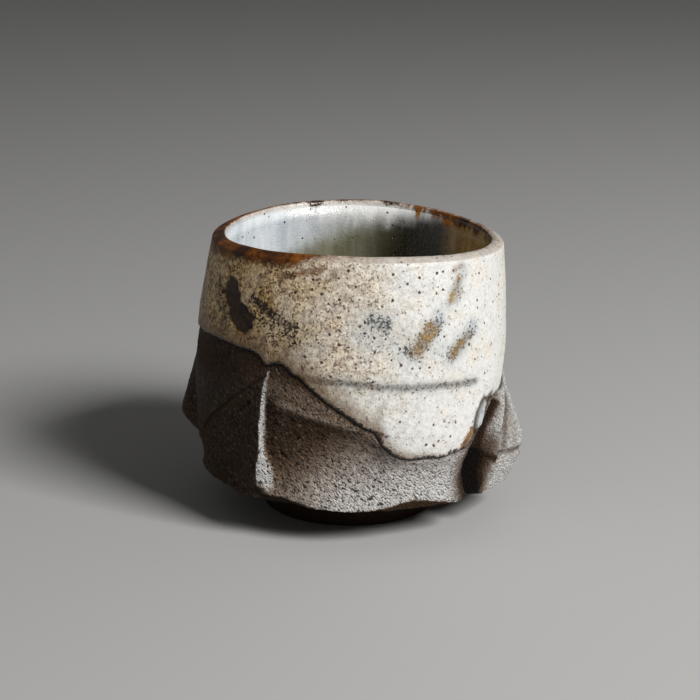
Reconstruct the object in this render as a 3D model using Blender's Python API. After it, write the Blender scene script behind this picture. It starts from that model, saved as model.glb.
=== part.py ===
"""A hand-cut stoneware sake cup: clay body, luted foot ring and three coats of glaze.

The wall is thrown round, then scooped away between four standing ridges of clay.
Lengths are metres, azimuths are degrees: 0 faces -Y, the front of the cup, and 90 faces +X.
Heights are measured up from the table, and the origin is on the table under the cup's axis.
"""

import math
from collections import namedtuple

import bmesh
import bpy

# Clay body
LIP_HEIGHT = 0.0612
LIP_RADIUS = 0.0310
LIP_THICKNESS = 0.0015
LIP_ROUNDING = 0.0007
LIP_SHIFT = 0.0018
LEAN_CURVE = 1.2
LIP_TILT = 0.0008
LIP_HIGH_AZIMUTH = -86.0
LIP_SADDLE = 0.0008
BELLY_HEIGHT = 0.0300
BELLY_RADIUS = 0.0342
WALL_SWELL = 0.0003
SKIRT_HEIGHT = 0.0078
SKIRT_RADIUS = 0.0334
SKIRT_TILT = 0.0014
SKIRT_HIGH_AZIMUTH = -60.0
WELL_DEPTH = 0.0490
WELL_SQUARENESS = 2.8

# Scoops cut out of the wall between the ridges. The shoulder is where each runs out upwards, as
# (azimuth, height), and a share says how much of the full depth was cut, as (azimuth, share).
SCOOP_DEPTH = 0.0030
SKIRT_SHARE = 0.28
SCOOP_EDGE = 2.6
SCOOP_SWELL = 1.6
DEEPEST_HEIGHT = 0.0040
DEEPEST_SHARE = 0.45
SHALLOW_SHOULDER = 0.0080
FULL_SHOULDER = 0.0280
SHOULDER = (
    (-125, 0.0270), (-104, 0.0270), (-88, 0.0150), (-75, 0.0185), (-64, 0.0229), (-55, 0.0271),
    (-49, 0.0295), (-43, 0.0321), (-37, 0.0348), (-33, 0.0360), (-30, 0.0326), (-20, 0.0314),
    (-10, 0.0300), (2, 0.0280), (15, 0.0245), (30, 0.0200), (46, 0.0190), (57, 0.0250), (70, 0.0300),
    (95, 0.0280), (120, 0.0240), (145, 0.0260), (168, 0.0300), (188, 0.0270), (210, 0.0240),
)
SCOOP_SHARE = (
    (-110, 0.6), (-90, 0.8), (-60, 1.0), (-45, 0.8), (-34, 0.5), (-26, 0.6), (-12, 0.9), (5, 1.0),
    (25, 1.0), (50, 0.8), (80, 0.8), (110, 1.0), (150, 0.8), (168, 0.5), (190, 0.9), (220, 1.0),
)

# A chip broken out of the skirt: its upper line as (azimuth, height), and how steeply it runs in
CHIP = ((8, 0.0076), (12, 0.0082), (19, 0.0096), (24.5, 0.0109), (30, 0.0093), (35, 0.0083), (40, 0.0076))
CHIP_SLOPE = 0.6

# Ridges left standing between the scoops, each as tracks from left to right. A track's points are
# (height, azimuth, reach) from the skirt up, and reach is how far it stands out past the thrown wall.
# Fills is 1 where the track was never scooped, and 0 where it lies at the bottom of the scoop.
Track = namedtuple("Track", "points fills")
LEFT_LUG = (
    Track(((0.0130, -122.0, 0.0), (0.0180, -124.0, 0.0), (0.0280, -112.0, 0.0), (0.0390, -104.0, 0.0)), 0),
    Track(((0.0130, -108.0, 0.0003), (0.0145, -108.0, 0.0022), (0.0182, -108.0, 0.0050),
           (0.0240, -106.0, 0.0036), (0.0300, -104.0, 0.0017), (0.0390, -101.0, 0.0)), 1),
    Track(((0.0130, -97.0, 0.0003), (0.0145, -97.0, 0.0020), (0.0182, -97.0, 0.0046),
           (0.0240, -97.5, 0.0031), (0.0300, -98.0, 0.0014), (0.0390, -99.0, 0.0)), 1),
    Track(((0.0130, -90.0, 0.0), (0.0180, -89.5, 0.0), (0.0390, -96.0, 0.0)), 0),
)
FRONT_FIN = (
    Track(((0.0080, -49.0, 0.0), (0.0140, -48.0, 0.0), (0.0250, -46.0, 0.0), (0.0320, -41.0, 0.0),
           (0.0384, -33.5, 0.0)), 0),
    Track(((0.0080, -34.6, 0.0006), (0.0130, -34.8, 0.0007), (0.0170, -34.7, 0.0006),
           (0.0200, -33.9, 0.0004), (0.0240, -33.7, 0.0003), (0.0310, -33.1, 0.0003),
           (0.0360, -32.7, 0.0002), (0.0384, -31.9, 0.0)), 1),
    Track(((0.0080, -28.0, 0.0), (0.0110, -28.6, 0.0), (0.0145, -29.6, 0.0), (0.0176, -31.6, 0.0),
           (0.0205, -32.9, 0.0), (0.0245, -33.1, 0.0), (0.0295, -32.4, 0.0), (0.0316, -31.0, 0.0),
           (0.0360, -31.4, 0.0), (0.0384, -31.0, 0.0)), 0),
)
RIGHT_LUG = (
    Track(((0.0080, 46.0, 0.0), (0.0160, 47.0, 0.0), (0.0220, 53.5, 0.0), (0.0270, 61.5, 0.0),
           (0.0325, 72.0, 0.0)), 0),
    Track(((0.0080, 53.8, -0.0019), (0.0130, 54.2, -0.0022), (0.0180, 55.4, -0.0020),
           (0.0230, 58.8, -0.0016), (0.0280, 65.8, -0.0009), (0.0325, 73.5, 0.0)), 0),
    Track(((0.0080, 55.8, 0.0002), (0.0120, 56.7, 0.0009), (0.0160, 58.4, 0.0018), (0.0190, 60.3, 0.0019),
           (0.0230, 63.6, 0.0025), (0.0280, 69.6, 0.0016), (0.0325, 75.0, 0.0)), 1),
    Track(((0.0080, 66.0, 0.0010), (0.0130, 67.0, 0.0025), (0.0165, 67.5, 0.0028), (0.0200, 68.0, 0.0020),
           (0.0250, 70.8, 0.0011), (0.0280, 73.0, 0.0007), (0.0325, 76.0, 0.0)), 1),
    Track(((0.0080, 80.0, 0.0022), (0.0095, 80.0, 0.0030), (0.0125, 80.0, 0.0045), (0.0140, 80.0, 0.0050),
           (0.0170, 80.0, 0.0050), (0.0190, 80.0, 0.0046), (0.0220, 80.0, 0.0032), (0.0255, 79.5, 0.0019),
           (0.0290, 78.5, 0.0007), (0.0325, 77.5, 0.0)), 1),
    Track(((0.0080, 97.0, 0.0), (0.0160, 99.0, 0.0), (0.0250, 92.0, 0.0), (0.0325, 84.0, 0.0)), 0),
)
BACK_FIN = (
    Track(((0.0080, 159.5, 0.0), (0.0150, 159.5, 0.0), (0.0320, 165.0, 0.0)), 0),
    Track(((0.0080, 168.0, 0.0010), (0.0150, 168.0, 0.0016), (0.0240, 168.0, 0.0009),
           (0.0320, 168.0, 0.0)), 1),
    Track(((0.0080, 175.0, 0.0), (0.0150, 175.0, 0.0), (0.0320, 170.5, 0.0)), 0),
)
RIDGES = (LEFT_LUG, FRONT_FIN, RIGHT_LUG, BACK_FIN)

# Foot ring
FOOT_RADIUS = 0.0195
FOOT_FLARE = 0.0008
FOOT_WIDTH = 0.0055
FOOT_HEIGHT = 0.0045
FOOT_CHAMFER = 0.0007

# Glaze coats, and the lower edge of the outer one as (azimuth, height) round the cup
GLAZE_THICKNESS = 0.0005
SEAM_GAP = 0.0003
GLAZE_EDGE = (
    (-165, 0.0310), (-138, 0.0290), (-112, 0.0360), (-96, 0.0386), (-83, 0.0398), (-69, 0.0408),
    (-55, 0.0412), (-45, 0.0414), (-35.5, 0.0390), (-28, 0.0389), (-20, 0.0373), (-10.5, 0.0335),
    (-3.5, 0.0308), (3.5, 0.0284), (8, 0.0271), (14.5, 0.0220), (18.5, 0.0203), (27, 0.0189), (39, 0.0180),
    (48, 0.0181), (52, 0.0200), (54.6, 0.0232), (56.4, 0.0266), (59, 0.0289), (64, 0.0298), (69, 0.0316),
    (74, 0.0342), (79, 0.0380), (84, 0.0435), (92, 0.0465), (105, 0.0430), (130, 0.0340), (155, 0.0350),
)

# How finely the round surfaces are divided
COLUMN_STEP = 6.5
GLAZE_COLUMN_STEP = 4.5
SAME_COLUMN = 0.8
LEVEL_STEP = 0.0026
SAME_LEVEL = 0.0009
LIP_STEPS = 4
WELL_STEPS = 8
WELL_CENTRE = 0.12
GLAZE_ROWS = 11
GLAZE_ROW_CROWDING = 1.5
FOOT_COLUMNS = 48

# Finishes: linear colour, roughness
CUT_STONEWARE = ((0.060, 0.046, 0.036), 0.75)
TRIMMED_STONEWARE = ((0.052, 0.040, 0.032), 0.75)
WHITE_ASH_GLAZE = ((0.560, 0.510, 0.430), 0.35)
GREY_LINING_GLAZE = ((0.360, 0.370, 0.340), 0.25)
IRON_BROWN_GLAZE = ((0.150, 0.075, 0.030), 0.35)


def clear_scene():
    for thing in list(bpy.data.objects):
        bpy.data.objects.remove(thing)


def finish(name, colour, roughness):
    material = bpy.data.materials.new(name)
    material.use_nodes = True
    shader = material.node_tree.nodes["Principled BSDF"]
    shader.inputs["Base Color"].default_value = (*colour, 1.0)
    shader.inputs["Roughness"].default_value = roughness
    shader.inputs["Metallic"].default_value = 0.0
    return material


def turn_from(azimuth, start):
    """Degrees from start round to azimuth, from -180 up to 180."""
    return (azimuth - start + 180.0) % 360.0 - 180.0


def smooth_through(points, x):
    """A smooth curve through (x, y) points in rising order of x."""
    xs = [p[0] for p in points]
    ys = [p[1] for p in points]
    last = len(points) - 1
    i = 0
    while i < last - 1 and x > xs[i + 1]:
        i += 1

    def slope(k):
        a, b = max(k - 1, 0), min(k + 1, last)
        return (ys[b] - ys[a]) / (xs[b] - xs[a])

    run = xs[i + 1] - xs[i]
    t = (x - xs[i]) / run
    rise = (2 * t**3 - 3 * t**2 + 1) * ys[i] + (3 * t**2 - 2 * t**3) * ys[i + 1]
    return rise + ((t**3 - 2 * t**2 + t) * slope(i) + (t**3 - t**2) * slope(i + 1)) * run


def lip_rise(azimuth):
    """How far the waving lip stands above its mean height."""
    tilt = LIP_TILT * math.cos(math.radians(azimuth - LIP_HIGH_AZIMUTH))
    return tilt + LIP_SADDLE * math.cos(math.radians(2 * azimuth))


def skirt_rise(azimuth):
    """How far the tilted lower edge of the wall stands above its mean height."""
    return SKIRT_TILT * math.cos(math.radians(azimuth - SKIRT_HIGH_AZIMUTH))


def share_up(height):
    """0 at the belly and below, 1 at the lip."""
    return max(0.0, (height - BELLY_HEIGHT) / (LIP_HEIGHT - BELLY_HEIGHT))


def share_down(height):
    """0 at the belly and above, 1 at the skirt."""
    return max(0.0, (BELLY_HEIGHT - height) / (BELLY_HEIGHT - SKIRT_HEIGHT))


def axis_shift(height):
    """How far the cup leans over towards +X at this height."""
    return LIP_SHIFT * share_up(height) ** LEAN_CURVE


def waved(azimuth, height):
    """A height on a level cup, moved to follow the waving lip and the tilted skirt."""
    return height + lip_rise(azimuth) * share_up(height) + skirt_rise(azimuth) * share_down(height) ** 2


def well_waved(azimuth, height):
    """The same inside, where the floor is level."""
    return height + lip_rise(azimuth) * share_up(height)


def thrown_radius(height):
    profile = ((SKIRT_HEIGHT, SKIRT_RADIUS), (BELLY_HEIGHT, BELLY_RADIUS), (LIP_HEIGHT, LIP_RADIUS))
    return smooth_through(profile, height) + WALL_SWELL * math.sin(math.pi * share_up(height))


def around(points, azimuth):
    """A smooth curve through (azimuth, y) points that closes round the cup."""
    before = [(a - 360, y) for a, y in points[-2:]]
    after = [(a + 360, y) for a, y in points[:2]]
    start = points[0][0]
    return smooth_through((*before, *points, *after), start + (azimuth - start) % 360.0)


def scoop_depth(azimuth, height):
    """How far the knife went in: nothing at the shoulder, deepest half way down, less at the skirt."""
    shoulder = around(SHOULDER, azimuth)
    if height >= shoulder:
        return 0.0
    deepest = DEEPEST_HEIGHT + DEEPEST_SHARE * shoulder
    t = min(1.0, (shoulder - SHALLOW_SHOULDER) / (FULL_SHOULDER - SHALLOW_SHOULDER))
    depth = SCOOP_DEPTH * around(SCOOP_SHARE, azimuth) * t * t * (3 - 2 * t)
    above = min(1.0, (shoulder - height) / (shoulder - deepest))
    below = max(0.0, (deepest - height) / (deepest - SKIRT_HEIGHT))
    return depth * (1 - (1 - above) ** SCOOP_EDGE) * (1 - (1 - SKIRT_SHARE) * below**SCOOP_SWELL)


def chip_depth(azimuth, height):
    turn = turn_from(azimuth, 0.0)
    if not CHIP[0][0] <= turn <= CHIP[-1][0]:
        return 0.0
    return CHIP_SLOPE * max(0.0, smooth_through(CHIP, turn) - height)


def track_at(track, height):
    """A track's azimuth and reach at this height, held at its ends past them."""
    at = min(max(height, track.points[0][0]), track.points[-1][0])
    azimuth = smooth_through([(h, a) for h, a, _ in track.points], at)
    reach = smooth_through([(h, r) for h, _, r in track.points], at)
    return azimuth, reach


def ridge_section(ridge, azimuth, height):
    """(how much of the scoop the ridge fills from 0 to 1, how far it reaches past the wall)."""
    if height < ridge[0].points[-1][0]:
        for left, right in zip(ridge, ridge[1:]):
            left_azimuth, left_reach = track_at(left, height)
            right_azimuth, right_reach = track_at(right, height)
            t = turn_from(azimuth, left_azimuth) / (right_azimuth - left_azimuth)
            if 0.0 <= t <= 1.0:
                fill = left.fills + (right.fills - left.fills) * t
                return fill, left_reach + (right_reach - left_reach) * t
    return 0.0, 0.0


def clay_radius(azimuth, height):
    sections = [ridge_section(ridge, azimuth, height) for ridge in RIDGES]
    fill = max(section[0] for section in sections)
    reach = sum(section[1] for section in sections)
    scooped = scoop_depth(azimuth, height) * (1 - fill)
    return thrown_radius(height) - scooped + reach - chip_depth(azimuth, height)


def filled(keys, step, same):
    """The keys in rising order, those closer than same dropped, with steps filled in between."""
    kept = []
    for key in sorted(keys):
        if not kept or key - kept[-1] > same:
            kept.append(key)
    values = []
    for low, high in zip(kept, kept[1:]):
        parts = math.ceil((high - low) / step)
        values += [low + (high - low) * i / parts for i in range(parts)]
    return values + [kept[-1]]


def track_azimuths(height):
    """Azimuths of every track at this height, in order round the cup and back to the first."""
    azimuths = [track_at(track, height)[0] for ridge in RIDGES for track in ridge]
    return azimuths + [azimuths[0] + 360.0]


def column_parts():
    """How many columns run between each track and the next, so that none is too wide at either end."""
    parts = []
    low, high = track_azimuths(SKIRT_HEIGHT), track_azimuths(LIP_HEIGHT)
    for i in range(len(low) - 1):
        widest = max(low[i + 1] - low[i], high[i + 1] - high[i])
        parts.append(math.ceil(widest / COLUMN_STEP))
    return parts


COLUMN_PARTS = column_parts()


def clay_columns(height):
    """Azimuths of the clay's columns at this height. They lean with the ridges' tracks."""
    tracks = track_azimuths(height)
    azimuths = []
    for left, right, parts in zip(tracks, tracks[1:], COLUMN_PARTS):
        azimuths += [left + (right - left) * i / parts for i in range(parts)]
    return azimuths


def glaze_columns():
    """Azimuths of the glaze's columns: the points of its edge, with steps filled in between."""
    keys = [azimuth for azimuth, _ in GLAZE_EDGE]
    return filled(keys + [keys[0] + 360.0], GLAZE_COLUMN_STEP, SAME_COLUMN)[:-1]


def wall_levels():
    """Heights up the wall, from the skirt to the start of the lip's rounding."""
    top = LIP_HEIGHT - LIP_ROUNDING
    keys = [SKIRT_HEIGHT, top] + [height for height, _, _ in LEFT_LUG[1].points]
    return filled(keys, LEVEL_STEP, SAME_LEVEL)


def point(azimuth, radius, height, shift=0.0):
    a = math.radians(azimuth)
    return (shift + radius * math.sin(a), -radius * math.cos(a), height)


def wall_ring(level, offset):
    """A ring on the outside of the clay at this level, stood off by offset."""
    ring = []
    for azimuth in clay_columns(level):
        radius = clay_radius(azimuth, level) + offset
        ring.append(point(azimuth, radius, waved(azimuth, level), axis_shift(level)))
    return ring


def lip_rings(offset):
    """Rings over the rounded lip from outside to inside, stood off by offset."""
    half = LIP_THICKNESS / 2
    middle = LIP_RADIUS - half
    columns = clay_columns(LIP_HEIGHT)
    rings = []
    for step in range(LIP_STEPS + 1):
        a = math.pi * step / LIP_STEPS
        across = (half + offset) * math.cos(a)
        up = (LIP_ROUNDING + offset) * math.sin(a) - LIP_ROUNDING
        rings.append(
            [point(az, middle + across, waved(az, LIP_HEIGHT) + up, LIP_SHIFT) for az in columns]
        )
    return rings


def well_rings(offset, top_drop=0.0):
    """Rings down the inside, from the lip to the middle of the floor, stood off by offset."""
    mouth = LIP_HEIGHT - LIP_ROUNDING
    radius = LIP_RADIUS - LIP_THICKNESS - offset
    depth = WELL_DEPTH - LIP_ROUNDING - offset
    columns = clay_columns(LIP_HEIGHT)
    rings = []
    for step in range(WELL_STEPS + 1):
        a = math.pi / 2 * (1 - WELL_CENTRE) * step / WELL_STEPS
        across = math.cos(a) ** (2 / WELL_SQUARENESS)
        down = math.sin(a) ** (2 / WELL_SQUARENESS)
        level = mouth - top_drop * (1 - down) - depth * down
        rings.append(
            [point(az, radius * across, well_waved(az, level), axis_shift(level)) for az in columns]
        )
    return rings


def glaze_rows(offset):
    """Rings up the outside from the glaze's lower edge to just under the lip, stood off by offset."""
    top = LIP_HEIGHT - LIP_ROUNDING - SEAM_GAP
    rings = []
    for row in range(GLAZE_ROWS + 1):
        ring = []
        for azimuth in glaze_columns():
            edge = around(GLAZE_EDGE, azimuth)
            level = edge + (top - edge) * (row / GLAZE_ROWS) ** GLAZE_ROW_CROWDING
            radius = clay_radius(azimuth, level) + offset
            ring.append(point(azimuth, radius, waved(azimuth, level), axis_shift(level)))
        rings.append(ring)
    return rings


def solid(name, rings, material, parent, closed_section):
    """One solid skinned over rings of points.

    A closed section joins the last ring back to the first. An open one is capped at both ends.
    """
    bm = bmesh.new()
    loops = [[bm.verts.new(place) for place in ring] for ring in rings]
    pairs = list(zip(loops, loops[1:]))
    if closed_section:
        pairs.append((loops[-1], loops[0]))
    for low, high in pairs:
        for i in range(len(low)):
            j = (i + 1) % len(low)
            bm.faces.new((low[i], low[j], high[j], high[i]))
    if not closed_section:
        bm.faces.new(loops[0])
        bm.faces.new(loops[-1])
    bmesh.ops.recalc_face_normals(bm, faces=bm.faces)
    mesh = bpy.data.meshes.new(name)
    bm.to_mesh(mesh)
    bm.free()
    mesh.shade_smooth()
    mesh.set_sharp_from_angle(angle=math.radians(35))
    mesh.materials.append(material)
    thing = bpy.data.objects.new(name, mesh)
    bpy.context.scene.collection.objects.link(thing)
    thing.parent = parent
    return thing


def clay_body(material, parent):
    """Underside, cut wall, lip and well in one skin. The flat under it is the foot ring's seat."""
    seat_height = FOOT_HEIGHT + SEAM_GAP
    seat = [point(az, FOOT_RADIUS + FOOT_FLARE, seat_height) for az in clay_columns(SKIRT_HEIGHT)]
    wall = [wall_ring(level, 0.0) for level in wall_levels()]
    rings = [seat] + wall[:-1] + lip_rings(0.0) + well_rings(0.0)[1:]
    return solid("clay_body", rings, material, parent, closed_section=False)


def foot_ring(material, parent):
    """A ring of clay luted under the body, a little wider where it meets it."""
    outer, inner = FOOT_RADIUS, FOOT_RADIUS - FOOT_WIDTH
    section = (
        (outer - FOOT_CHAMFER, 0.0),
        (outer, FOOT_CHAMFER),
        (outer + FOOT_FLARE, FOOT_HEIGHT),
        (inner - FOOT_FLARE, FOOT_HEIGHT),
        (inner, FOOT_CHAMFER),
        (inner + FOOT_CHAMFER, 0.0),
    )
    azimuths = [360.0 * i / FOOT_COLUMNS for i in range(FOOT_COLUMNS)]
    rings = [[point(az, radius, height) for az in azimuths] for radius, height in section]
    return solid("foot_ring", rings, material, parent, closed_section=True)


def outer_glaze(material, parent):
    """The dipped coat over the upper wall, down to its wavering lower edge."""
    inside = glaze_rows(SEAM_GAP)
    outside = glaze_rows(SEAM_GAP + GLAZE_THICKNESS)
    return solid("outer_glaze", outside + inside[::-1], material, parent, closed_section=True)


def rim_glaze(material, parent):
    """The thin band of glaze that breaks brown over the lip, between the two thicker coats."""
    inside = lip_rings(SEAM_GAP)
    outside = lip_rings(SEAM_GAP + GLAZE_THICKNESS)
    return solid("rim_glaze", outside + inside[::-1], material, parent, closed_section=True)


def inner_glaze(material, parent):
    """The poured lining of the well, an open cup of glaze."""
    against_clay = well_rings(SEAM_GAP, top_drop=SEAM_GAP)
    face = well_rings(SEAM_GAP + GLAZE_THICKNESS, top_drop=SEAM_GAP)
    return solid("inner_glaze", against_clay[::-1] + face, material, parent, closed_section=False)


def main():
    clear_scene()
    cup = bpy.data.objects.new("sake_cup", None)
    bpy.context.scene.collection.objects.link(cup)
    clay_body(finish("cut_stoneware", *CUT_STONEWARE), cup)
    foot_ring(finish("trimmed_stoneware", *TRIMMED_STONEWARE), cup)
    outer_glaze(finish("white_ash_glaze", *WHITE_ASH_GLAZE), cup)
    rim_glaze(finish("iron_brown_glaze", *IRON_BROWN_GLAZE), cup)
    inner_glaze(finish("grey_lining_glaze", *GREY_LINING_GLAZE), cup)
    for thing in cup.children:
        print(thing.name, len(thing.data.polygons), "faces")


main()
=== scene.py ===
# %% [markdown]
# # A hand-cut stoneware sake cup
#
# The cup is one lump of dark, iron-bearing stoneware. The potter threw it thick, scooped the lower wall
# away with a knife and left ridges standing between the scoops. Then the cup was dipped upside down in a
# white ash glaze, lined with the same glaze and fired hard.
#
# This lesson loads the construction model as a fixed frame, and builds the fine surface over each of its
# pieces: torn clay below, thick speckled glaze above.

# %% Load the frame
import math
from collections import namedtuple

import bpy
import numpy as np
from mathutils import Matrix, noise


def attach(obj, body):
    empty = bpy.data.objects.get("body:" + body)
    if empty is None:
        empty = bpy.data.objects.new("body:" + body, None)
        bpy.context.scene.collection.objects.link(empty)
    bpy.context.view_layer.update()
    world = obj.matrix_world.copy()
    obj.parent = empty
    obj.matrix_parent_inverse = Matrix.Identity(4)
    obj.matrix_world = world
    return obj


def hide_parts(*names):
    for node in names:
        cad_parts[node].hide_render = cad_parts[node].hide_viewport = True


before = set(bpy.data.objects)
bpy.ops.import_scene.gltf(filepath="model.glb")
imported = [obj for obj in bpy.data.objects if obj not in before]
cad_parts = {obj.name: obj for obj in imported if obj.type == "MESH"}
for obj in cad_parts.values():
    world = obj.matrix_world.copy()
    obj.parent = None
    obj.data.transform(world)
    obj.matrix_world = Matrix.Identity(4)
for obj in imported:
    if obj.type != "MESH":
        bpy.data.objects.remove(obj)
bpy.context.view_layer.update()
MM = 0.001

# %% [markdown]
# ## The camera
#
# The cup was photographed a little from above with a long lens, so its mouth shows as a thin ellipse.
# The camera could be placed by an empty to track, or by three numbers read from that ellipse and from
# where the foot stands. Numbers are used here, because the rest of the cup was measured with them.

# %% Place the camera
CAMERA_BACK = 392.0
CAMERA_UP = 147.5
CAMERA_TILT = 16.1
LENS = 94.27
SENSOR = 36.0

lens = bpy.data.cameras.new("camera")
lens.lens = LENS
lens.sensor_width = SENSOR
lens.clip_start = 0.01
camera = bpy.data.objects.new("camera", lens)
bpy.context.scene.collection.objects.link(camera)
camera.location = (0.0, -CAMERA_BACK * MM, CAMERA_UP * MM)
camera.rotation_euler = (math.radians(90.0 - CAMERA_TILT), 0.0, 0.0)
bpy.context.scene.camera = camera
print("camera", tuple(round(v, 3) for v in camera.location), "lens", LENS, "mm")

# %% [markdown]
# ## Curves and hand wobble
#
# Nothing on a thrown pot is straight, and little on it is random. Its edges are smooth curves that a hand
# drew, with a slight wobble on top. So two helpers come first: a smooth curve through a few chosen points,
# also one that closes round the cup, and a noise that is read at points given in millimetres.
# Azimuths are degrees: 0 is the front, 90 is the cup's right-hand side.

# %% Smooth curves
def smooth_through(points, x):
    """A smooth curve through (x, y) points in rising order of x, read at an array of x."""
    xs, ys = np.array(points, float).T
    low = np.maximum(np.arange(len(xs)) - 1, 0)
    high = np.minimum(np.arange(len(xs)) + 1, len(xs) - 1)
    slopes = (ys[high] - ys[low]) / (xs[high] - xs[low])
    i = np.clip(np.searchsorted(xs, x, side="right") - 1, 0, len(xs) - 2)
    run = xs[i + 1] - xs[i]
    t = (x - xs[i]) / run
    level = (2 * t**3 - 3 * t**2 + 1) * ys[i] + (3 * t**2 - 2 * t**3) * ys[i + 1]
    return level + ((t**3 - 2 * t**2 + t) * slopes[i] + (t**3 - t**2) * slopes[i + 1]) * run


def around(points, azimuth):
    """The same for (azimuth, y) points that close round the cup."""
    before = [(a - 360, y) for a, y in points[-2:]]
    after = [(a + 360, y) for a, y in points[:2]]
    start = points[0][0]
    return smooth_through(before + list(points) + after, start + (azimuth - start) % 360.0)


print("a curve over 0, 1 and 0, read half way up:", smooth_through(((0, 0), (1, 1), (2, 0)), np.array([0.5])))


# %% Steps, wobble and turns
def step(low, high, x):
    """0 at low, 1 at high and beyond, and a smooth change between them. Low may be the larger."""
    t = np.clip((x - low) / (high - low), 0.0, 1.0)
    return t * t * (3 - 2 * t)


def wobble(points, size, seed=0.0):
    """Noise from -1 to 1 at points in millimetres, with lumps about size millimetres across."""
    flat = points.reshape(-1, 3) / size + seed
    values = np.fromiter((noise.noise(p) for p in flat), float, len(flat))
    return values.reshape(points.shape[:-1])


def turn_from(azimuth, start):
    """Degrees from start round to azimuth, from -180 to 180."""
    return (azimuth - start + 180.0) % 360.0 - 180.0


print("from 170 round the back to -170 degrees:", turn_from(-170.0, 170.0))

# %% [markdown]
# ## The clay's form
#
# The wall starts as a thrown round that swells from the lip to the belly. Knife scoops sink into its lower
# half under a sagging shoulder line, and ridges are left standing between them. A ridge could be sculpted,
# but a few crest lines describe it better: each one is a track that swings and stands out as it comes
# down the wall, and the surface runs straight from track to track, which keeps every crest as sharp as the
# knife left it.

# %% Driving sizes of the thrown wall, in millimetres
LIP_HEIGHT, LIP_RADIUS, LIP_THICKNESS, LIP_ROUNDING = 61.2, 31.0, 1.5, 0.7
LIP_SHIFT, LEAN_CURVE, LIP_TILT, LIP_HIGH, LIP_SADDLE = 1.8, 1.2, 0.8, -86.0, 0.8
BELLY_HEIGHT, BELLY_RADIUS, WALL_SWELL = 30.0, 34.2, 0.3
SKIRT_HEIGHT, SKIRT_RADIUS, SKIRT_TILT, SKIRT_HIGH = 7.8, 33.4, 1.4, -60.0
WELL_DEPTH, WELL_SQUARENESS = 49.0, 2.8
FOOT_RADIUS, FOOT_FLARE, FOOT_WIDTH, FOOT_HEIGHT, FOOT_CHAMFER = 19.5, 0.8, 5.5, 4.5, 0.7
SEAM_GAP = 0.3
print("mouth", 2 * LIP_RADIUS, "mm wide, lip", LIP_HEIGHT, "mm above the table")


# %% The thrown wall: round, leaning a little, with a waving lip
def share_up(height):
    """0 at the belly and below, 1 at the lip."""
    return np.maximum(0.0, (height - BELLY_HEIGHT) / (LIP_HEIGHT - BELLY_HEIGHT))


def lean(height):
    """How far the cup's axis has leant towards +X at this height."""
    return LIP_SHIFT * share_up(height) ** LEAN_CURVE


def lip_rise(azimuth):
    """How far the lip waves up from level."""
    tilt = LIP_TILT * np.cos(np.radians(azimuth - LIP_HIGH))
    return tilt + LIP_SADDLE * np.cos(np.radians(2 * azimuth))


def waved(azimuth, height):
    """A height on a level cup, moved to follow the waving lip and the tilted skirt."""
    share_down = np.maximum(0.0, (BELLY_HEIGHT - height) / (BELLY_HEIGHT - SKIRT_HEIGHT))
    skirt = SKIRT_TILT * np.cos(np.radians(azimuth - SKIRT_HIGH))
    return height + lip_rise(azimuth) * share_up(height) + skirt * share_down**2


def thrown_radius(height):
    """The radius the wheel left, before the knife."""
    profile = ((SKIRT_HEIGHT, SKIRT_RADIUS), (BELLY_HEIGHT, BELLY_RADIUS), (LIP_HEIGHT, LIP_RADIUS))
    return smooth_through(profile, height) + WALL_SWELL * np.sin(math.pi * share_up(height))


def place(azimuth, radius, height, shift=0.0):
    """Points of the cup from azimuth, radius and height."""
    a = np.radians(azimuth)
    return np.stack([shift + radius * np.sin(a), -radius * np.cos(a), height + 0.0 * a], axis=-1)


for part, height in (("lip", LIP_HEIGHT), ("belly", BELLY_HEIGHT), ("skirt", SKIRT_HEIGHT)):
    print("thrown radius at the", part, thrown_radius(np.array([height])).round(2))

# %% Scoops: where they start, how deep they sink
SHOULDER = (
    (-125, 27), (-104, 27), (-88, 15), (-75, 18.5), (-64, 22.9), (-55, 27.0), (-49, 29.6), (-43, 32.2),
    (-37, 35.0), (-33, 36.6), (-30, 32.3), (-20, 30.2), (-10, 28.9), (0, 27.0), (8, 24.8), (14, 21.2),
    (22, 19.0), (30, 18.6), (46, 18.6), (57, 25), (70, 30), (95, 28), (120, 24), (145, 26), (168, 30),
    (188, 27), (210, 24),
)
SCOOP_SHARE = (
    (-110, 0.6), (-90, 0.8), (-60, 1.0), (-45, 0.8), (-34, 0.5), (-26, 0.6), (-12, 0.9), (5, 1.0), (25, 1.0),
    (50, 0.8), (80, 0.8), (110, 1.0), (150, 0.8), (168, 0.5), (190, 0.9), (220, 1.0),
)
SCOOP_DEPTH = 3.0
SCOOP_FADE = (8.0, 28.0)
SCOOP_BOTTOM, SCOOP_BOTTOM_SHARE = 4.0, 0.45
SCOOP_EDGE, SKIRT_EDGE = 2.6, 1.6
SKIRT_SHARE = 0.28


def scoop_depth(azimuth, height):
    """How far the knife went in: nothing at the shoulder, deepest half way down, less at the skirt."""
    shoulder = around(SHOULDER, azimuth)
    deepest = SCOOP_BOTTOM + SCOOP_BOTTOM_SHARE * shoulder
    depth = SCOOP_DEPTH * around(SCOOP_SHARE, azimuth) * step(*SCOOP_FADE, shoulder)
    above = np.clip((shoulder - height) / (shoulder - deepest), 0.0, 1.0)
    below = np.clip((deepest - height) / (deepest - SKIRT_HEIGHT), 0.0, 1.0)
    return depth * (1 - (1 - above) ** SCOOP_EDGE) * (1 - (1 - SKIRT_SHARE) * below**SKIRT_EDGE)


print("scoop depth at the front, half way down:", scoop_depth(np.array([0.0]), np.array([17.0])).round(2))

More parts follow.
